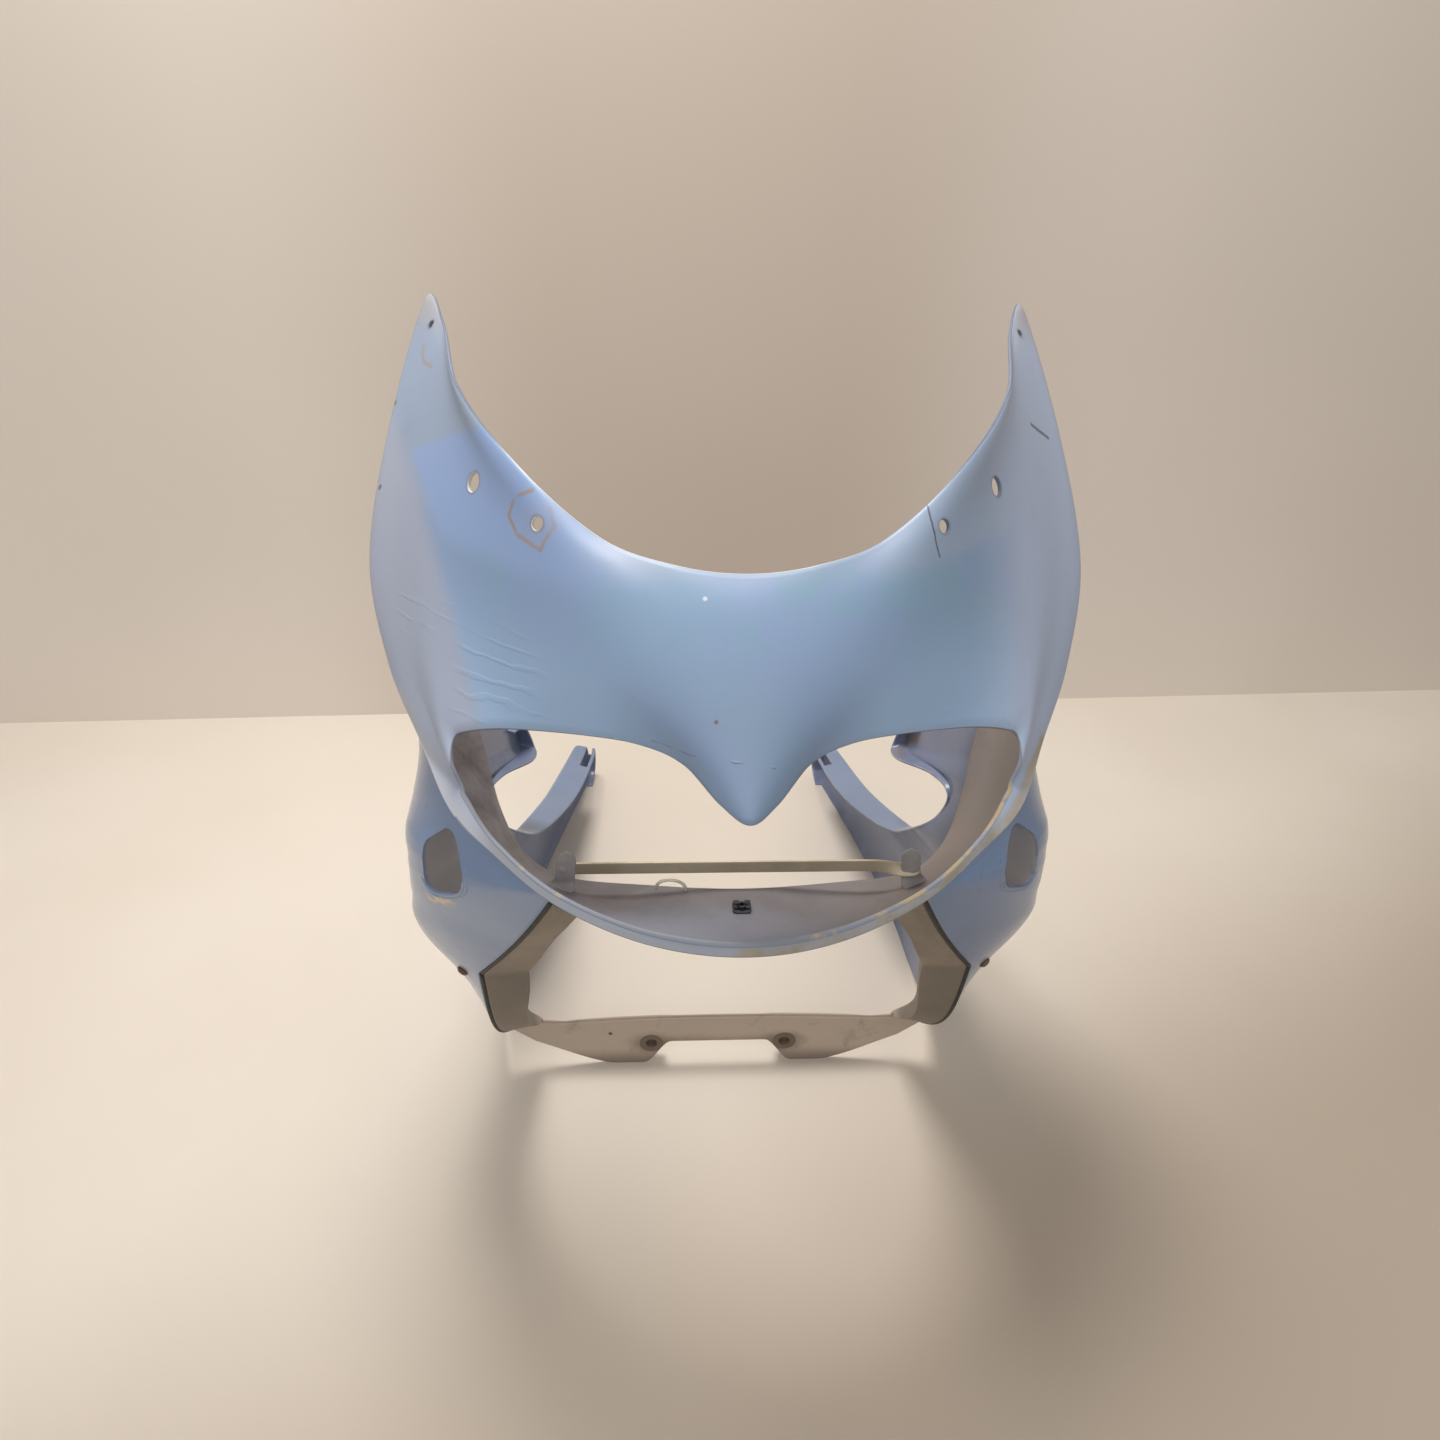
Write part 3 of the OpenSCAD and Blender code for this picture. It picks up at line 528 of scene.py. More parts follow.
def panel_pt(v, u):
    v, u = np.broadcast_arrays(np.asarray(v, float), np.asarray(u, float))
    a, b = front_soft(v, u), curve(REAR, v)
    w = (PANEL_WIDE * curve(WIDTH, v)[..., 0] - mix(a, b, POD)[..., 0]) / (1 - POD * hump(1.0))
    s = np.where(u < 1, np.power(u, 1.25), u)
    p = mix(a, b, s[..., None])
    p[..., 0] += w * (hump(s) - hump(1.0) * s) + 20 * np.sin(np.pi * s) * ease(0.6, 0.85, v)
    above_floor = a[..., 2] * (1 - s) + 0.8 * b[..., 2] * s
    p[..., 2] -= above_floor * ease(0.8, 1, v) ** (1 + 2 * s) * ease(0, 0.42, u)
    return p


PANEL = panel_pt(steps(UP)[:, None], steps(ACROSS))
PANEL_N = grid_normals(PANEL, False)
TURN_SHARE = np.concatenate([0.55 * steps(6)[1:], 0.55 + 0.35 * steps(4)[1:], [0.95, 1.0]])
SLOT_ROWS, SLOT_COLUMNS = (23 * STEP, 26 * STEP), (6, 10)    # slot in the arm's turned-in edge


def panel_skins():
    """Outer and inner points of the side panel with its rear edge turned in round a small radius."""
    v = steps(UP)
    way = np.stack([-np.ones_like(v), np.zeros_like(v), -0.3 * (1 - ease(0.85, 1, v))], -1)
    turned_in = PANEL[:, -1:] + (curve(TURN, v) * way)[:, None] * TURN_SHARE[None, :, None]
    full = np.concatenate([PANEL, turned_in], 1)
    for _ in range(2):
        soft = full.copy()
        for c in range(ACROSS - 1, ACROSS + 2):
            soft[:, c] = (full[:, c - 1] + 2 * full[:, c] + full[:, c + 1]) / 4
        full = soft
    columns = np.arange(full.shape[1])
    step = unit(np.diff(full, axis=1))
    across = step[:, np.minimum(columns, columns[-2])] + step[:, np.maximum(columns - 1, 0)]
    inner = full - SKIN * unit(np.cross(span(full), across))
    inner[..., 2] = np.maximum(inner[..., 2], 0)
    return full, inner


def clear_cowl(inner):
    """Keeps the inner face of the panel's front edge off the cowl's return skin."""
    third = BEHIND // BACK_ROWS
    for r in range(SEAM_N * STEP + 1):
        i = RETURN_START * STEP + r
        axis = grid_normals(BACK_GRID[i - 1:i + 2], False)[1, third]
        inner[r, 0] += axis * max(0.0, 1.6 * FIT - float((inner[r, 0] - BACK_GRID[i, third]) @ axis))


PANEL_OUT, PANEL_IN = panel_skins()
clear_cowl(PANEL_IN)
TIP_AT, FOOT_AT, DUCT_AT = (18.4, 1.3), (25.4, 1.85), (11.2, 2.8)
DUCT_WIDTH, DUCT_HEIGHT, DUCT_RADIUS = 48, 50, 10


def panel_at(row, col):
    """Point and outward axis at a place of the panel, counted in the CAD's rows and columns."""
    v, u, e = row / ROWS, col / COLUMNS, 1e-3
    axis = unit(np.cross(panel_pt(v + e, u) - panel_pt(v - e, u), panel_pt(v, u + e) - panel_pt(v, u - e)))
    return panel_pt(v, u), axis


# seams and liner
BEAD_R = 2.5
_along = unit(np.cross(span(PANEL[:, 0]), PANEL_N[:, 0]))
_out = _along * np.sign((_along * (PANEL[:, 0] - PANEL[:, STEP])).sum(-1, keepdims=True))
SEAM_LINE = (PANEL[:, 0] + PANEL_IN[:, 0]) / 2 + _out * (BEAD_R + FIT / 2)     # middle of the beading
LINER_R = SEAM_N + 0.5        # row where the liner and the beading start
CORNER_X, BAR_Y, BAR_TOP, LOBES = FOOT[0] - 40, 292.0, 81.0, 37.0
BAR_HOLES, BAR_HOLE_R, COLLAR = 80, 7, 15.5
BAR_K, BAR_PARTS = ROWS - SEAM_N, 12     # liner station where the crossbar starts, and stations along it


def seam_at(row):
    f = np.clip(np.asarray(row, float), 0, ROWS) * STEP
    i = np.minimum(np.floor(f).astype(int), UP - 1)
    return mix(SEAM_LINE[i], SEAM_LINE[i + 1], (f - i)[..., None])


def bar_low(x):
    return LOBES * (1 - ease(56, 90, x)) + (FOOT[2] - 4) * ease(122, FOOT[0] + 40, x) ** 0.8


def liner_lines(k):
    """Outer and inner line of the liner: beside the seams up to station BAR_K, then along the crossbar."""
    if k <= BAR_K:
        r, t = max(LINER_R, SEAM_N + k), k / BAR_K
        a = seam_at(r)
        upper = 1 - ease(0, 0.4, t)
        depth = 44 * (0.62 + 0.38 * ease(0.15, 0.4, t)) * (1 - 0.22 * ease(0.4, 0.7, t))
        inner = mix(a + vec(-depth, 3 + 12 * upper, -14 * upper),
                    vec(CORNER_X, BAR_Y - 1, BAR_TOP - 4), float(ease(0.7, 1, t)))
        d = unit(seam_at(min(r + 0.5, ROWS)) - seam_at(r - 0.5))
        w = unit(inner - a - d * ((inner - a) @ d))
        c = np.cross(d, w)
        return a + w * (BEAD_R + FIT + 0.1) - c * np.sign(c[1]) * SKIN / 2, inner
    if k < BAR_K + 1:
        (a, b), (c, d) = liner_lines(BAR_K), liner_lines(BAR_K + 1)
        return mix(a, c, k - BAR_K), mix(b, d, k - BAR_K)
    x = (1 - (k - BAR_K) / BAR_PARTS) * (FOOT[0] - 10)
    t = x / FOOT[0]
    return vec(x, BAR_Y, bar_low(x)), vec(t * CORNER_X, BAR_Y, BAR_TOP - 8 * t ** 2)


# material helpers
def srgb(c):
    """Colour written as sRGB 0..255, returned as the shader's linear colour."""
    parts = [v / 255 for v in c]
    return (*[v / 12.92 if v <= 0.04045 else ((v + 0.055) / 1.055) ** 2.4 for v in parts], 1.0)


class Nodes:
    """Adds nodes to a material and links values to them. tint() builds up its base colour."""

    def __init__(self, name, shake=1.0):
        self.mat = bpy.data.materials.new(name)
        self.mat.use_nodes = True
        self.tree = self.mat.node_tree
        self.tree.nodes.clear()
        self.out = self.put("ShaderNodeOutputMaterial")
        self.bsdf = self.put("ShaderNodeBsdfPrincipled")
        self.tree.links.new(self.bsdf.outputs[0], self.out.inputs[0])
        self.coords = self.put("ShaderNodeTexCoord").outputs["Object"]
        self.x, self.y, self.z = self.put("ShaderNodeSeparateXYZ", Vector=self.coords).outputs
        self.base, self.moved, self.shake = None, None, shake

    def put(self, kind, **inputs):
        return self.fill(self.tree.nodes.new(kind), **inputs)

    def fill(self, node, **inputs):
        """Feeds a node's inputs, named with _ for each space. None leaves an input as it is."""
        for name, value in inputs.items():
            if value is not None:
                self.feed(node.inputs[name.replace("_", " ")], value)
        return node

    def feed(self, socket, value):
        if isinstance(value, bpy.types.NodeSocket):
            self.tree.links.new(value, socket)
        else:
            socket.default_value = value

    def math(self, op, a, b=0.0, clamp=False):
        n = self.put("ShaderNodeMath")
        n.operation, n.use_clamp = op, clamp
        self.feed(n.inputs[0], a)
        self.feed(n.inputs[1], b)
        return n.outputs[0]

    def add(self, a, b):
        return self.math("ADD", a, b)

    def mul(self, a, b):
        return self.math("MULTIPLY", a, b)

    def level(self, low, mask, share):
        """A value that rises from low by share of a mask."""
        return self.add(low, self.mul(mask, share))

    def sway(self, noise, amount):
        """A noise centred on 0."""
        return self.mul(self.math("SUBTRACT", noise, 0.5), amount)

    def vmath(self, op, a, b=(0, 0, 0)):
        n = self.put("ShaderNodeVectorMath")
        n.operation = op
        self.feed(n.inputs[0], a)
        self.feed(n.inputs["Scale" if op == "SCALE" else 1], b)
        return n.outputs["Value" if op in ("DOT_PRODUCT", "LENGTH", "DISTANCE") else 0]

    def noise(self, scale, detail=4.0, rough=0.55, warp=0.0):
        return self.put("ShaderNodeTexNoise", Vector=self.coords, Scale=scale, Detail=detail,
                        Roughness=rough, Distortion=warp).outputs["Fac"]

    def band(self, x, low, high):
        """0 below low, 1 above high, smooth between; low may be above high."""
        n = self.put("ShaderNodeMapRange", Value=x, From_Min=low, From_Max=high)
        n.interpolation_type = "SMOOTHSTEP"
        return n.outputs["Result"]

    def patches(self, scale, detail, rough, low, high, warp=0.0):
        """1 where a noise is above high, 0 where it is below low."""
        return self.band(self.noise(scale, detail, rough, warp), low, high)

    def colour(self, fac, a, b):
        n = self.put("ShaderNodeMix")
        n.data_type = "RGBA"
        self.feed(n.inputs[0], fac)
        for k, v in ((6, a), (7, b)):
            self.feed(n.inputs[k], v if isinstance(v, bpy.types.NodeSocket) else srgb(v))
        return n.outputs[2]

    def tint(self, mask, colour, share=1):
        """Lays a colour over the base colour where the mask is, as strongly as share."""
        self.base = self.colour(mask if share == 1 else self.mul(mask, share), self.base, colour)

    def bump(self, height, strength, distance, after=None):
        return self.put("ShaderNodeBump", Height=height, Strength=strength, Distance=distance,
                        Normal=after).outputs[0]

    def near(self, p, radius, soft, stretch=(1, 1, 1), wobble=0.0):
        """1 within radius of a point, in mm of the CAD's unshifted frame, fading over soft."""
        d = self.vmath("SUBTRACT", self.coords, tuple(to_metres(p)))
        d = self.vmath("LENGTH", self.vmath("MULTIPLY", d, stretch))
        if wobble:
            d = self.add(d, self.sway(self.noise(90), wobble * MM))
        return self.band(d, (radius + soft) * MM, (radius - soft) * MM)

    def shaken(self):
        """Coordinates that a fine noise moves by up to shake mm, made once."""
        if self.moved is None:
            n = self.put("ShaderNodeTexNoise", Vector=self.coords, Scale=120)
            away = self.vmath("SUBTRACT", n.outputs["Color"], (0.5, 0.5, 0.5))
            self.moved = self.vmath("ADD", self.coords, self.vmath("SCALE", away, self.shake * MM * 2))
        return self.moved

    def line(self, a, b, width, soft=0.5, shaky=True):
        """1 within width of the segment a to b, in mm of the CAD's unshifted frame."""
        a, b = to_metres(a), to_metres(b)
        ab = b - a
        pa = self.vmath("SUBTRACT", self.shaken() if shaky else self.coords, tuple(a))
        t = self.math("DIVIDE", self.vmath("DOT_PRODUCT", pa, tuple(ab)), float(ab @ ab), clamp=True)
        d = self.vmath("DISTANCE", pa, self.vmath("SCALE", tuple(ab), t))
        return self.band(d, width * MM * (1 + soft), width * MM * (1 - soft))

    def path(self, points, width, soft=0.5, shaky=True):
        """1 within width of a line through points; joining each stretch at once keeps the shader small."""
        most = self.line(points[0], points[1], width, soft, shaky)
        for a, b in zip(points[1:], points[2:]):
            most = self.math("MAXIMUM", most, self.line(a, b, width, soft, shaky))
        return most

    def done(self, rough, normal, **constants):
        self.fill(self.bsdf, Base_Color=self.base, Roughness=rough, Normal=normal, **constants)
        return self.mat


# cowl paint
def film_front(n, big, wander):
    """Blotches of teal and violet blue low on the front, as where a film has shielded the paint, with
    painted light that lifts the shade in the hollows beside the beak.
    """
    low = n.band(n.add(n.z, wander), 0.708, 0.688)
    middle = n.band(n.math("ABSOLUTE", n.add(n.x, 0.03)), 0.262, 0.236)
    film = n.colour(n.mul(n.patches(11, 2, 0.45, 0.47, 0.53, 0.6), 0.75), (130, 162, 186), (137, 158, 195))
    film = n.colour(n.mul(n.band(big, 0.42, 0.6), 0.5), film, (138, 162, 200))
    # painted light: paler blue low on the front beside the beak, where shade falls in the hollows
    brow_painted_light = n.mul(n.band(n.z, 0.68, 0.61), n.band(n.math("ABSOLUTE", n.x), 0.03, 0.11))
    film = n.colour(brow_painted_light, film, (154, 182, 216))
    n.tint(n.mul(low, middle), film)
    return low, middle


def paint_zones(n, mid, low, wander):
    """Deeper blue under the left horn, lavender grey flanks with a painted highlight on the left one, a
    darker beak, dusty horn tips and dirt.
    """
    side = n.add(n.x, n.mul(n.y, 0.41))
    slant = n.math("SUBTRACT", n.z, n.mul(n.x, 0.525))
    zone = n.mul(n.band(side, -0.326, -0.317), n.band(slant, 0.874, 0.866))
    zone = n.mul(zone, n.band(n.x, -0.06, -0.16))
    zone = n.mul(zone, n.band(n.z, 0.675, 0.695))
    n.tint(zone, n.colour(low, (142, 168, 214), (144, 168, 210)), 0.85)
    # lavender grey tone, painted lighter as a highlight where the left side face turns to the light
    n.tint(n.band(side, -0.318, -0.334), (167, 174, 194), 0.85)
    n.tint(n.band(n.add(n.x, wander), 0.17, 0.24), (176, 189, 216), 0.8)
    n.tint(n.near(vec(0, 30, 590), 70, 55, (1, 0.5, 1.2)), (126, 145, 174), 0.5)
    n.tint(n.mul(n.band(n.z, 0.80, 0.83), mid), (176, 166, 152))
    n.tint(n.patches(34, 5, 0.7, 0.56, 0.75), (128, 140, 164), 0.16)


def repair_patch(n, mid):
    """Patch with a brown outline round the left screen hole."""
    ring = nose_path((10.75, 6.67), (12.1, 5.8), (13.08, 4.89), (12.79, 4.5), (11.29, 4.61), (10.5, 5.3),
                     (9.75, 6.0), (9.87, 6.56), side=-1, parts=2)
    outline = n.mul(n.path(ring, 1.5, 0.7), n.patches(38, 3, 0.5, 0.26, 0.5))
    n.tint(outline, n.colour(mid, (150, 126, 104), (176, 146, 116)), 0.8)
    n.tint(n.near(nose_at(*SCREEN_HOLE, -1)[0], 15, 9), (153, 164, 196), 0.5)


def paint_marks(n):
    """Crack at the right screen hole, scratch on the right horn, chips, fleck, stain, grimy hole rims."""
    crack = nose_path((9.46, 6.95), (9.8, 6.3), (10.17, 5.78), (10.67, 5.06), (11.21, 4.5))
    n.tint(n.path(crack, 0.75), (92, 96, 110))
    n.tint(n.line(vec(256, 340, 754), vec(280, 357, 738), 1.7, 0.6), (104, 108, 120))
    chips = ((23.0, 6.67, 2.4, 1.2), (21.6, 6.9, 2.2, 1), (2.08, 2.11, 1.4, 0.7))
    a, b, c = [n.near(nose_at(station, row, -1)[0], radius, soft) for station, row, radius, soft in chips]
    n.tint(n.math("MAXIMUM", n.math("MAXIMUM", a, b), c), (112, 100, 96))
    n.tint(n.near(nose_at(2.08, 6.0, -1)[0], 1.6, 0.8), (206, 216, 228))
    stain = nose_path((19.88, 6.5), (19.96, 6.44), (19.79, 6.33), (19.04, 6.22), side=-1)
    n.tint(n.path(stain, 2.0, 0.8), (160, 144, 130), 0.6)
    for at, radius in ((SCREEN_HOLE, 6.5), (MIRROR_HOLE, 9.3), (HORN_HOLE, 5.2)):
        for side in (-1, 1):
            n.tint(n.near(nose_at(*at, side)[0], radius, 1.6, wobble=3), (120, 112, 112), 0.55)


def lip_wear_and_highlight(n, mid):
    """Cream and brown wear along the lip on the right, and a painted highlight in grey white along the
    crease on the left.
    """
    right = rim(np.array([0.665, 0.69, 0.72, 0.75, 0.78, 0.81, 0.85, 0.89, 0.93, 0.965, 1.0]))
    left = flip(rim(np.array([0.63, 0.68, 0.73, 0.78, 0.83, 0.88, 0.94, 1.0])))
    right, left = n.path(right, 7.5, 0.6), n.path(left, 8, 1.2, shaky=False)
    # painted highlight along the left crease
    n.tint(left, n.colour(mid, (170, 173, 184), (190, 192, 200)), 0.9)
    n.tint(right, n.colour(n.patches(30, 5, 0.65, 0.38, 0.58), (172, 169, 168), (166, 152, 124)), 0.85)
    return right


def film_edge(n, middle):
    """Edge of the film and the wrinkles beside it; returns the heights of a broad wave and the creases."""
    wave = n.sway(n.noise(5, 2, 0.4), 0.012)
    edge = nose_path((7.6, 0.3), (4.33, 0.78), (1.04, 1.28), side=-1) + nose_path((1.83, 1.06))
    seam = n.path(edge, 0.7, 0.6)
    n.tint(seam, (112, 138, 160), 0.6)
    folds = n.put("ShaderNodeTexWave", Scale=24, Distortion=6, Detail=3, Detail_Scale=1.6,
                  Vector=n.vmath("MULTIPLY", n.coords, (0.35, 0.35, 1.0)))
    folds.wave_type, folds.bands_direction, folds.wave_profile = "BANDS", "Z", "SIN"
    crease = n.mul(n.band(folds.outputs["Fac"], 0.8, 1.0), n.patches(12, 3, 0.5, 0.55, 0.7))
    crease = n.mul(n.mul(crease, n.mul(n.band(n.z, 0.66, 0.62), middle)), 0.4)
    return wave, n.add(crease, n.mul(seam, 0.8))


def paint_material():
    n = Nodes("aged_blue_paint")
    big, mid, fine = n.noise(3.2, 3, 0.5), n.noise(9, 4, 0.6, 0.4), n.noise(160, 3, 0.6)
    wander = n.sway(mid, 0.03)
    n.base = n.colour(n.band(big, 0.38, 0.62), (146, 164, 191), (152, 169, 194))
    low, middle = film_front(n, big, wander)
    paint_zones(n, mid, low, wander)
    repair_patch(n, mid)
    paint_marks(n)
    lip = lip_wear_and_highlight(n, mid)
    wave, crease = film_edge(n, middle)
    rough = n.add(n.level(0.36, mid, 0.18), n.mul(lip, 0.2))
    b = n.bump(n.add(n.noise(14, 2, 0.5), wave), 0.08, 0.004)
    b = n.bump(fine, 0.05, 0.0006, after=b)
    return n.done(rough, n.bump(crease, 0.45, 0.0012, after=b), Coat_Weight=0.12, Coat_Roughness=0.3)


# materials
def panel_paint_material():
    n = Nodes("aged_blue_panel_paint", shake=6)
    big, mid, fine = n.noise(3.6, 3, 0.5), n.noise(12, 4, 0.6, 0.5), n.noise(170, 3, 0.6)
    n.base = n.colour(n.band(big, 0.36, 0.64), (116, 140, 176), (130, 150, 184))
    # painted shade: deeper blue where each panel runs in under the nose, stronger on the left
    for side, shade_blue, share in ((-1, (88, 118, 162), 0.85), (1, (90, 117, 164), 0.6)):
        n.tint(n.near(vec(side * 214, 168, 345), 40, 34, (1, 1, 0.8), 18), shade_blue, share)
    pale = n.band(n.add(n.z, n.mul(mid, 0.03)), 0.318, 0.285)
    n.tint(n.mul(pale, n.band(n.y, -0.18, -0.26)), (156, 168, 186), 0.6)
    n.tint(n.patches(26, 6, 0.72, 0.6, 0.72, 1.0), (116, 124, 146), 0.4)
    # chipped ledge under the left duct, rubs and stains near the right screw
    chip = n.line(vec(-256, 142, 404), vec(-236, 125, 414), 3.6, 1.0)
    n.tint(n.mul(chip, n.patches(80, 3, 0.5, 0.40, 0.47)), n.colour(mid, (196, 170, 128), (208, 190, 156)))
    n.tint(n.near(vec(236, 196, 318), 11, 6, (0.6, 1, 1.6), 10), (106, 118, 160), 0.55)
    n.tint(n.near(vec(246, 196, 332), 2.6, 1.4), (110, 106, 118))
    for side in (-1, 1):
        for at in (TIP_AT, FOOT_AT):
            n.tint(n.near(panel_at(*at)[0] * vec(side, 1, 1), 10, 5, wobble=9), (150, 132, 112), 0.5)
    rough = n.level(0.26, mid, 0.24)
    b = n.bump(n.noise(16, 2, 0.5), 0.12, 0.005)
    return n.done(rough, n.bump(fine, 0.05, 0.0006, after=b), Coat_Weight=0.6, Coat_Roughness=0.12)


def inside_material():
    n = Nodes("bare_inner_face")
    mid = n.noise(14, 5, 0.62, 0.5)
    n.base = n.colour(n.band(mid, 0.3, 0.7), (106, 102, 106), (124, 120, 124))
    n.tint(n.band(n.x, 0.02, 0.2), (134, 124, 114), 0.5)
    n.tint(n.mul(n.band(n.x, -0.1, -0.22), n.band(mid, 0.35, 0.6)), (162, 161, 170), 0.7)
    n.tint(n.mul(n.band(n.z, 0.5, 0.6), n.patches(20, 4, 0.6, 0.35, 0.65)), (120, 110, 102), 0.55)
    n.tint(n.mul(n.patches(45, 5, 0.7, 0.55, 0.72), n.band(n.x, -0.2, 0.2)), (146, 126, 92), 0.55)
    # painted highlight: pale lavender on the inner face near the middle of the lip
    n.tint(n.near(vec(-45, 25, 468), 55, 35, (0.6, 1.7, 1), 20), (154, 160, 178), 0.7)
    n.tint(n.near(vec(-99, 44, 467), 1.6, 0.8), (70, 62, 60))
    return n.done(n.level(0.48, mid, 0.2), n.bump(n.noise(230, 4, 0.6), 0.2, 0.0008))


def tongue_material():
    n = Nodes("grey_tongue")
    mid = n.noise(26, 5, 0.62, 0.5)
    n.base = n.colour(n.band(mid, 0.3, 0.7), (138, 133, 134), (160, 155, 156))
    return n.done(n.level(0.44, mid, 0.2), n.bump(n.noise(230, 4, 0.6), 0.2, 0.0008))


def panel_inside_material():
    """The hollow of the pod is bare grey, darkened with painted shade, the lobes and arms are painted."""
    n = Nodes("blue_inner_face")
    mid = n.noise(10, 5, 0.6, 0.6)
    n.base = n.colour(n.band(mid, 0.32, 0.68), (108, 121, 152), (127, 139, 168))
    # bare grey hollow of the pod, with painted shade making it dark
    pod = n.mul(n.band(n.y, -0.06, -0.12), n.band(n.z, 0.20, 0.26))
    n.tint(pod, n.colour(mid, (72, 80, 102), (84, 91, 112)), 0.85)
    stain = n.near(vec(236, 508, 338), 26, 14, (1, 1, 0.8), 16)
    n.tint(n.mul(stain, n.patches(40, 4, 0.6, 0.4, 0.55)), (140, 116, 88), 0.8)
    rough = n.level(0.34, mid, 0.25)
    b = n.bump(n.noise(13, 2, 0.5), 0.2, 0.006)
    b = n.bump(n.noise(200, 4, 0.6), 0.1, 0.0007, after=b)
    return n.done(rough, b, Coat_Weight=0.4, Coat_Roughness=0.12)


def edge_material(name, bare, painted):
    """Bare rim of a moulding: pale where the paint is worn through, darker where paint is left; higher up a
    painted shade darkens it, and a painted highlight runs white along the screen's edge on the left.
    """
    n = Nodes(name)
    mid = n.noise(40, 5, 0.7)
    right = n.mul(n.band(n.x, 0.02, 0.2), n.band(n.z, 0.55, 0.53))
    n.base = n.colour(n.band(n.level(mid, right, 0.1), 0.56, 0.66), painted, bare)
    # painted highlight: white along the screen's edge, left of the middle, from above the lip to below the
    # horn tips
    high = n.mul(n.band(n.z, 0.66, 0.70), n.mul(n.band(n.z, 0.765, 0.745), n.band(n.x, 0.1, 0.04)))
    edge_highlight = n.colour(n.patches(24, 3, 0.5, 0.35, 0.6), (200, 203, 208), (222, 222, 216))
    # painted shade: darker blue on the rim high up, holding down the highlight of the lamp above
    n.tint(n.band(n.z, 0.55, 0.6), (112, 122, 146))
    n.tint(high, edge_highlight)
    return n.done(n.level(0.42, mid, 0.2), n.bump(mid, 0.3, 0.001))


def liner_material(name, dark, light, dust):
    """Bare plastic with dust on the crossbar's face, and painted shade on its lower band, along its foot,
    under the recess between its lobes and round its holes.
    """
    n = Nodes(name)
    mid = n.noise(9, 5, 0.62, 0.4)
    n.base = n.colour(n.band(mid, 0.3, 0.7), dark, light)
    # painted shade: darker below the seam's corner, on the recessed lower band
    n.tint(n.band(n.z, 0.29, 0.27), (104, 96, 88), 0.5)
    # painted shade along the foot and under the recess between the lobes
    lowest = n.level(n.z, mid, 0.012)
    shaded_gap = n.mul(n.band(lowest, 0.058, 0.036), n.band(n.math("ABSOLUTE", n.x), 0.09, 0.07))
    foot = n.math("MAXIMUM", n.band(lowest, 0.034, 0.010), shaded_gap)
    n.tint(n.band(n.z, 0.11, 0.07), n.colour(mid, dust, tuple(k + 12 for k in dust)), 0.9)
    n.tint(foot, (112, 99, 88), 0.65)
    n.tint(n.patches(28, 6, 0.7, 0.56, 0.72, 0.8), (122, 108, 92), 0.4)
    # painted shade round the holes and their collars
    for side in (-1, 1):
        n.tint(n.near(vec(side * BAR_HOLES, BAR_Y, LOBES - 4), 16, 9, (0.7, 1, 1), 14), (112, 96, 80), 0.6)
    n.tint(n.near(vec(-128, BAR_Y, 52), 2.4, 1.2), (82, 70, 62))
    return n.done(n.level(0.5, mid, 0.2), n.bump(n.noise(260, 4, 0.6), 0.25, 0.0008))


def rubber_material():
    n = Nodes("black_rubber")
    mid = n.noise(70, 4, 0.6)
    n.base = n.colour(n.band(mid, 0.35, 0.7), (26, 27, 30), (54, 54, 56))
    return n.done(n.level(0.42, mid, 0.25), n.bump(mid, 0.3, 0.0008))


def steel_material(name, dark, light, rust, rusty=0.6):
    n = Nodes(name)
    mid = n.noise(60, 5, 0.65)
    n.base = n.colour(n.patches(14, 4, 0.6, 0.35, 0.65), dark, light)
    stain = n.patches(130, 5, 0.7, 0.62 - 0.12 * rusty, 0.72 - 0.1 * rusty)
    n.tint(stain, rust, rusty)
    n.feed(n.bsdf.inputs["Metallic"], n.math("SUBTRACT", 0.7, n.mul(stain, 0.5)))
    return n.done(n.level(0.34, mid, 0.25), n.bump(mid, 0.2, 0.0004))


PAINT, PANEL_PAINT = paint_material(), panel_paint_material()
INSIDE, PANEL_INSIDE = inside_material(), panel_inside_material()
EDGE = edge_material("worn_edge_with_painted_light", (172, 158, 132), (136, 142, 156))
PANEL_EDGE = edge_material("worn_panel_edge", (164, 166, 176), (132, 142, 168))
LINER = liner_material("grey_brown_plastic", (128, 119, 108), (158, 147, 132), (180, 165, 150))
LINER_DARK = liner_material("dusty_collar_with_painted_shade", (84, 76, 68), (104, 94, 84), (92, 82, 72))
TONGUE = tongue_material()
RUBBER = rubber_material()
BRACE_STEEL = steel_material("dull_olive_steel", (182, 170, 148), (200, 188, 166), (146, 124, 98), 0.4)
SCREW_STEEL = steel_material("zinc_screw", (130, 126, 118), (186, 180, 170), (128, 96, 66), 0.75)
RUSTY_STEEL = steel_material("rusty_screw", (104, 88, 74), (134, 118, 100), (98, 70, 50), 0.9)
WIRE_STEEL = steel_material("bright_wire", (190, 184, 170), (214, 208, 196), (150, 124, 92), 0.35)
DARK_STEEL = steel_material("dark_clip_steel", (44, 46, 52), (78, 80, 88), (74, 60, 48), 0.5)


# build the liner
def liner_row(k, band=12, turn=6):
    """Points across the liner at a station, with its small step, and on over its turned-back edge."""
    a, b = liner_lines(float(k))
    off = mix(vec(6, 26, -4), vec(0, 7, -9), float(ease(BAR_K - 5, BAR_K + 1, k)))
    corner = CORNER_N - SEAM_N
    step = vec(0, -3, 1) * float(1 - ease(corner - 0.3, corner + 0.15, k))
    b = b + step
    row = [mix(a, b, t) - step * (t - float(ease(0.05, 0.45, t))) for t in steps(band)]
    return row + [b + off * j / turn for j in range(1, turn + 1)]


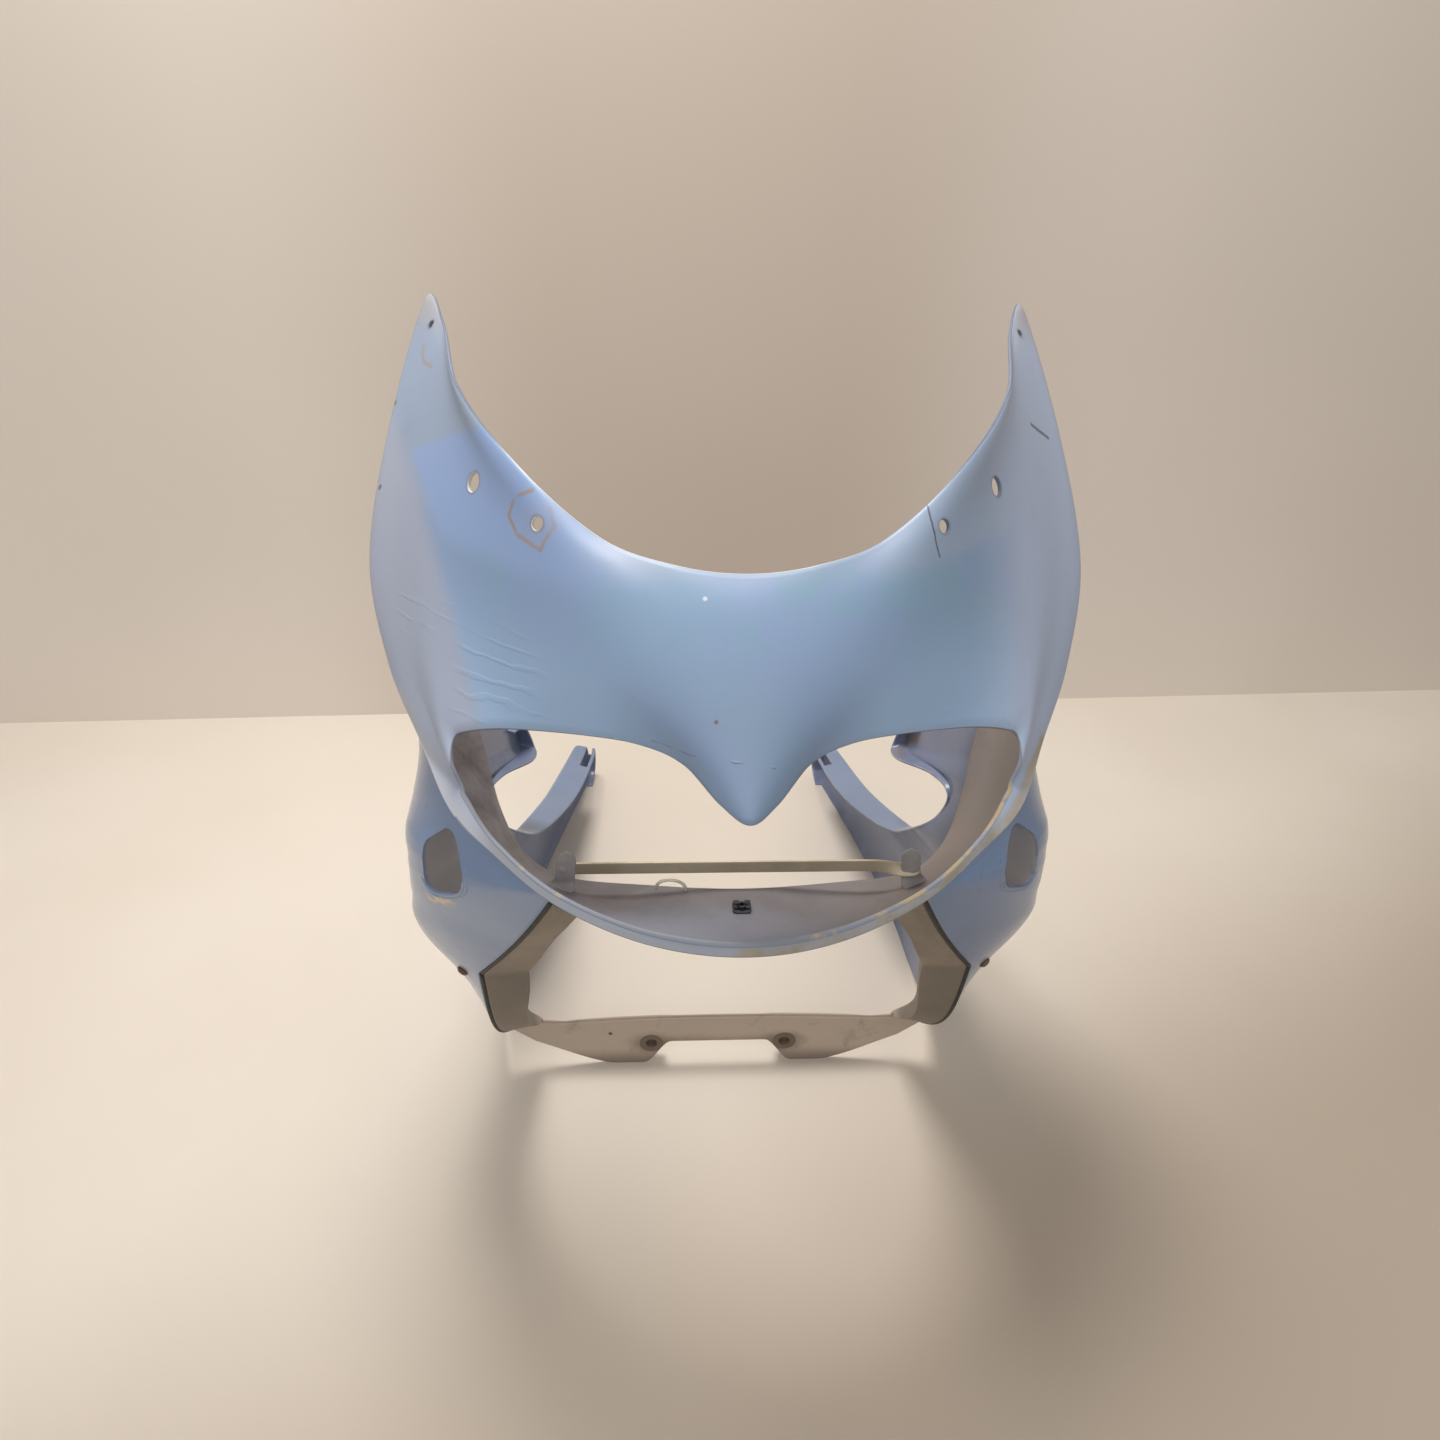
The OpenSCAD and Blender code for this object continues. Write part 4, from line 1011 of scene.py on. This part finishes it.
def build_liner():
    fine = 5
    half = np.array([liner_row(k) for k in np.arange((BAR_K + BAR_PARTS) * fine + 1) / fine])
    g = np.concatenate([half, flip(half[-2::-1])], 0)
    inner = g + SKIN * grid_normals(g, False)
    shape, kinds = shell(inner, g, np.ones((len(g) - 1, g.shape[1] - 1), bool), False)
    ob = to_object("lower_liner_skin", shape, (LINER, LINER, LINER), kinds=kinds)
    r, wall = BAR_HOLE_R, 7
    hole = lathe([(0, -30), (r + 3, -30), (r + 0.8, SKIN - 2.2), (r, SKIN - 1), (r, 40), (0, 40)])
    cut(ob, [placed(hole, vec(side * BAR_HOLES, BAR_Y - SKIN, LOBES - 3), (0, 1, 0)) for side in (-1, 1)])
    dress(ob, "liner_shell", "lower_liner")
    for side, word in ((-1, "left"), (1, "right")):
        collar = lathe([(r, -0.4), (r + wall, -0.4), (r + wall, COLLAR - 1.2), (r + wall - 1.2, COLLAR),
                        (r + 1, COLLAR), (r, COLLAR - 1), (r, -0.4)], 48)
        collar = placed(collar, vec(side * BAR_HOLES, BAR_Y, LOBES - 3), (0, 1, 0))
        dress(to_object("crossbar_collar_" + word, collar, (LINER_DARK,)), "liner_shell")


# beading
def bead(r0, r1, name, side):
    strip = tube(seam_at(np.linspace(r0, r1, int((r1 - r0) * STEP) + 2)), BEAD_R - 0.5)
    dress(to_object(name + "_strip", strip, (RUBBER,), side), "bead_rubber", name)


# build the nose
def build_nose():
    n, m = NOSE_OUT.shape[:2]
    keep, lip = np.zeros((n, m - 1), bool), np.zeros((n, m - 1), bool)
    keep[:, :FRONT] = True
    start, reach = RETURN_START * STEP, int(round(0.74 * HALF))
    keep[start:2 * HALF - start, FRONT:] = True
    lip[reach:2 * HALF - reach, FRONT - 4:FRONT] = True
    shape, kinds = shell(NOSE_OUT, NOSE_IN, keep, True, trim=lip)
    ob = to_object("nose_cowl_skin", shape, (PAINT, INSIDE, EDGE), kinds=kinds)
    for at, d in ((SCREEN_HOLE, 10), (MIRROR_HOLE, 15), (HORN_HOLE, 7)):
        hole = placed(hole_cutter(d), *nose_at(*at))
        cut(ob, [hole, mirrored(hole)])
    dress(ob, "cowl_paint", "nose_cowl")


# build the side panels
def duct_frame():
    """Middle of the duct and the matrix that turns its outline as the CAD's place() does."""
    p, axis = panel_at(*DUCT_AT)
    theta, phi = math.acos(max(-1, min(1, axis[2]))), math.atan2(axis[1], axis[0])
    return p, Matrix.Rotation(phi, 3, "Z") @ Matrix.Rotation(theta, 3, "Y")


def duct_corners():
    h, w = DUCT_HEIGHT / 2 - DUCT_RADIUS, DUCT_WIDTH / 2 - DUCT_RADIUS
    return [(-4, -w - 4), (h - 5, 1 - w), (h + 6, w - 2), (6 - h, w), (-h - 7, 0)]


def on_panel(p, m, x, y):
    """Point of the panel's outer skin straight above a point of the duct's plane, and the skin's axis."""
    pts, normals = PANEL.reshape(-1, 3), PANEL_N.reshape(-1, 3)
    q = np.array(m @ Vector((x, y, 0))) + p
    axis = np.array(m @ Vector((0, 0, 1)))
    away = pts - q
    flat = away - (away @ axis)[:, None] * axis
    near = np.argsort((flat ** 2).sum(1))[:4]
    w = 1 / (np.linalg.norm(flat[near], axis=1) + 0.1)
    height = float((away[near] @ axis) @ w / w.sum())
    return q + axis * height, unit((normals[near] * w[:, None]).sum(0))


def duct_ledge():
    """Stepped ledge moulded along the lower and rear side of the duct."""
    p, m = duct_frame()
    pieces = []
    for grow, radius, sink in ((2.2, 1.3, 0.6), (5.6, 1.1, 0.55)):
        line = hull_outline(duct_corners(), DUCT_RADIUS + grow, 40)
        down = sorted((q for q in line if q[0] > -6 + 0.5 * q[1]), key=lambda q: math.atan2(q[1], q[0]))
        path = []
        for x, y in down:
            q, axis = on_panel(p, m, x, y)
            if not path or np.linalg.norm(q - path[-1]) > 2.5:
                path.append(q + axis * (radius - 2 * sink))
        path = np.array(path)
        for _ in range(3):
            path[1:-1] = (path[:-2] + 2 * path[1:-1] + path[2:]) / 4
        k = np.arange(len(path))
        pieces.append(tube(path, radius * np.minimum(1, np.minimum(k, k[::-1]) / 5 + 0.25), 12))
    return joined(*pieces)


def build_panel(side, node):
    keep = np.ones((UP, PANEL_OUT.shape[1] - 1), bool)
    keep[SLOT_ROWS[0]:SLOT_ROWS[1], ACROSS + SLOT_COLUMNS[0]:ACROSS + SLOT_COLUMNS[1]] = False
    shape, kinds = shell(PANEL_OUT, PANEL_IN, keep, False)
    ob = to_object(node + "_skin", shape, (PANEL_PAINT, PANEL_INSIDE, PANEL_EDGE), side, kinds)
    p, m = duct_frame()
    cutters = [turned(plate(hull_outline(duct_corners(), DUCT_RADIUS), -30, 30), m, p)]
    cutters += [placed(hole_cutter(5.4), *panel_at(*at)) for at in (TIP_AT, FOOT_AT)]
    cut(ob, [mirrored(c, side) for c in cutters])
    dress(ob, "panel_paint", node)
    dress(to_object(node + "_duct_ledge", duct_ledge(), (PANEL_PAINT,), side), "panel_paint")


# small hardware
def node_box(node):
    """Lowest, highest and middle point of a CAD node, in mm of the CAD's unshifted frame."""
    low, high = [np.array(p) / MM + vec(0, MIDDLE, 0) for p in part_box(node)]
    return low, high, (low + high) / 2


def build_tongue(side, word):
    """Rounded upright tab that spreads into the return skin at its foot and leans a little inward."""
    low, high, mid = node_box("brace_tongue_" + word)
    x, y = abs(mid[0]), high[1] - 1.2
    foot, top, half = low[2] + 1.0, high[2], 7.5
    rings = []
    for h in np.concatenate([np.linspace(0, 24, 17), 24 + 9.4 * np.sin(np.linspace(0.1, 1.55, 12))]):
        spread, flare = 1 - ease(0, 11, h), 1 - ease(0, 6, h)
        cap = max(0.0, (foot + h - (top - half)) / half)
        w = half * math.sqrt(max(0.02, 1 - min(1, cap) ** 2)) + 4 * spread
        centre = vec(x + 3.5 * spread - 0.12 * h, y - 3.0 * flare, foot + h - 1.2 * spread)
        rings.append(soft_oval(centre, vec(1, 0, 0), vec(0, 1, 0), w, 1.05 + 4.0 * flare - 0.5 * cap))
    tab = to_object("brace_tongue_tab_" + word, loft(rings), (TONGUE,), side)
    dress(tab, "tongue_shell", "brace_tongue_" + word)


def build_strip():
    """Flat strip behind the tongues; its right end twists and bends down to the right tongue."""
    low, high, mid = node_box("brace_strip")
    half_h, drop, twisted = 5.5, 5, 0.75
    left, right, z = low[0] + half_h, high[0] - half_h, high[2] - half_h
    bend = right - 26
    xs = np.concatenate([left - half_h * np.cos(np.linspace(0.12, 1.5, 8)), np.linspace(left, bend - 8, 40),
                         np.linspace(bend - 4, right + half_h - 0.3, 24)])
    rings = []
    for x in xs:
        t = float(ease(bend - 8, right - 4, x))
        c, s = math.cos(twisted * t), math.sin(twisted * t)
        end = max(0.12, min(1.0, (x - (left - half_h)) / half_h, (right + half_h - x) / half_h))
        rings.append(soft_oval(vec(x, mid[1], z - drop * t), vec(0, s, c), vec(0, -c, s),
                               half_h * math.sqrt(1 - (1 - end) ** 2), 1.0, 0.4))
    dress(to_object("brace_strip_band", loft(rings), (BRACE_STEEL,)), "brace_steel", "brace_strip")


def build_brace_screw(side, word):
    """Flush head in the tongue, dull as the tab round it."""
    mid = node_box("brace_screw_" + word)[2]
    front = node_box("brace_tongue_" + word)[1][1] - 2.35
    screw = lathe([(0, -0.35), (1.2, -0.35), (2.6, -0.2), (3.3, 0.1), (3.4, 0.6), (1.9, 2.0), (1.9, 8.0),
                   (3.9, 8.0), (3.9, 10.4), (3.2, 10.9), (0, 10.9)], 24)
    screw = placed(screw, vec(abs(mid[0]), front, mid[2]), (0, 1, 0))
    ob = to_object("brace_screw_head_" + word, screw, (TONGUE,), side)
    dress(ob, "screw_steel", "brace_screw_" + word)


def build_speed_nut():
    """Folded clip: a base plate and two curled prongs with a notch between them."""
    low, _, mid = node_box("chin_speed_nut")
    y, z = mid[1], low[2]
    shapes = [loft([soft_oval(vec(0, y, z + h), vec(1, 0, 0), vec(0, 1, 0), 7 - r, 6 - r, 0.35)
                    for h, r in ((0.2, 0.5), (0.4, 0.1), (1.5, 0.0), (1.8, 0.3))])]
    for k in (-1, 1):
        rings = []
        for t in np.linspace(0, 1, 14):
            centre = vec(k * 4.2, y - 1.5 + 3.8 * math.sin(2.3 * t) - 1.5 * t, z + 1.2 + 5.6 * t ** 0.8)
            rings.append(soft_oval(centre, vec(1, 0, 0), vec(0, 0.8, 0.6), 2.5 - 0.4 * t, 1.3, 0.4))
        shapes.append(loft(rings))
    neck = lathe([(2.0, 0), (3.4, 0), (3.4, 3.0), (2.0, 3.0), (2.0, 0)], 20)
    shapes.append(placed(neck, vec(0, y, z + 1.4), (0, 0, 1)))
    clip = to_object("chin_speed_nut_clip", joined(*shapes), (DARK_STEEL,))
    dress(clip, "nut_steel", "chin_speed_nut")


def build_wire_loop():
    """Bent wire that stands on the chin's rear edge."""
    low, high, mid = node_box("chin_wire_loop")
    wire = 1.2
    half, rise = (high[0] - low[0]) / 2 - wire, high[2] - low[2] - 2 * wire
    path = []
    for q in np.linspace(0, math.pi, 33):
        tall = math.sin(q) ** 0.8
        path.append(vec(mid[0] - half * math.cos(q), mid[1] + 2.0 * tall,
                        low[2] + wire + 1.5 + (rise - 3.5) * tall + 1 + math.cos(q)))
    loop = to_object("chin_wire_loop_wire", tube(path, wire, 14), (WIRE_STEEL,))
    dress(loop, "loop_wire", "chin_wire_loop")


def build_panel_screw(kind, at, side, word, mat):
    """Flanged pan head with a cross recess on its shank."""
    p, axis = panel_at(*at)
    base = p + axis * FIT
    screw = lathe([(0, -13), (2.2, -13), (2.5, -12.4), (2.5, 0), (5.6, 0), (6, 0.3), (6, 0.9), (5.5, 1.3),
                   (4.9, 1.5), (4.5, 2.1), (3.6, 2.7), (2.2, 3.0), (0, 3.05)], 36)
    ob = to_object(kind + "_screw_head_" + word, placed(screw, base, axis), (mat, mat, mat), side)
    for long, wide in ((2.6, 0.55), (0.55, 2.6)):
        bar = plate([(-long, -wide), (long, -wide), (long, wide), (-long, wide)], 1.5, 6)
        cut(ob, [mirrored(placed(bar, base, axis, (0.3, 0, 1)), side)])
    dress(ob, "screw_steel", kind + "_screw_" + word)


def dress_node(node, mat):
    """Gives a CAD node that stays shown its finish."""
    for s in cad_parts[node].material_slots:
        s.material = mat


build_nose()
build_liner()
build_strip()
build_speed_nut()
build_wire_loop()
for _side, _word in ((1, "right"), (-1, "left")):
    build_panel(_side, "side_panel_" + _word)
    bead(LINER_R, CORNER_N - 0.1, "bead_upper_" + _word, _side)
    bead(CORNER_N + 0.1, ROWS, "bead_lower_" + _word, _side)
    build_tongue(_side, _word)
    build_brace_screw(_side, _word)
    build_panel_screw("tip", TIP_AT, _side, _word, RUSTY_STEEL)
    build_panel_screw("foot", FOOT_AT, _side, _word, SCREW_STEEL)
    dress_node("tip_nut_" + _word, DARK_STEEL)
    dress_node("foot_nut_" + _word, DARK_STEEL)


# floor, wall and light
def stage_sheet(name, corners, mat):
    ob = new_mesh(name, corners, [(0, 1, 2, 3)], (mat,))


def floor_material():
    """Pale floor that darkens toward the camera, as the photo's does."""
    n = Nodes("pale_floor")
    n.base = n.colour(n.patches(1.6, 3, 0.5, 0.3, 0.7), (226, 217, 205), (232, 224, 213))
    # painted shadow: darker toward the camera, more so on the right
    near = n.add(n.mul(n.y, -1.0), n.mul(n.x, 0.45))
    n.tint(n.band(near, 0.0, 0.62), (164, 149, 133), 0.8)
    return n.done(0.55, n.bump(n.noise(60, 3, 0.5), 0.04, 0.001), Specular_IOR_Level=0.3)


def wall_material():
    """Pale wall with a darker middle, clear when seen from behind."""
    n = Nodes("pale_wall")
    n.base = n.colour(n.patches(1.1, 2, 0.5, 0.3, 0.7), (226, 217, 207), (232, 223, 214))
    # painted shade: the middle of the wall is darker than its sides
    n.tint(n.band(n.math("ABSOLUTE", n.x), 0.75, 0.2), (194, 181, 168), 0.75)
    n.done(0.7, None)
    both = n.put("ShaderNodeMixShader", Fac=n.put("ShaderNodeNewGeometry").outputs["Backfacing"])
    for k, shader in ((1, n.bsdf), (2, n.put("ShaderNodeBsdfTransparent"))):
        n.feed(both.inputs[k], shader.outputs[0])
    n.feed(n.out.inputs[0], both.outputs[0])
    return n.mat


def lamp(name, at, to, size, power, colour):
    data = bpy.data.lights.new(name, "AREA")
    data.shape, data.size, data.energy, data.color = "DISK", size, power, colour
    ob = new_object(name, data)
    ob.location = at
    ob.rotation_mode = "QUATERNION"
    ob.rotation_quaternion = (Vector(to) - Vector(at)).to_track_quat("-Z", "Y")


FAR, WALL_HIGH, WALL_BEYOND = 6.0, 3.0, 1.6
WALL_LEFT, WALL_RIGHT = Vector((-0.748, 0.655, 0)), Vector((0.883, 0.721, 0))     # the wall's foot in view
beyond = (WALL_RIGHT - WALL_LEFT).normalized() * WALL_BEYOND
wall_foot = [WALL_LEFT - beyond, WALL_RIGHT + beyond]
wall_top = [p + Vector((0, 0, WALL_HIGH)) for p in reversed(wall_foot)]
stage_sheet("floor", [(-FAR, -FAR, 0), (FAR, -FAR, 0), (FAR, FAR, 0), (-FAR, FAR, 0)], floor_material())
stage_sheet("wall", [tuple(p) for p in wall_foot + wall_top], wall_material())
lamp("top", (-0.3, 0.3, 2.3), (0, 0, 0.3), 0.8, 32, (1.0, 0.955, 0.91))
lamp("front", (-0.15, -2.3, 1.9), (0, 0, 0.4), 2.4, 18, (1.0, 0.98, 0.95))
world = bpy.data.worlds.new("world")
bpy.context.scene.world = world
world.use_nodes = True
world.node_tree.nodes["Background"].inputs[0].default_value = (1.0, 0.97, 0.93, 1)
world.node_tree.nodes["Background"].inputs[1].default_value = 0.42
bpy.context.scene.view_settings.view_transform = "Standard"
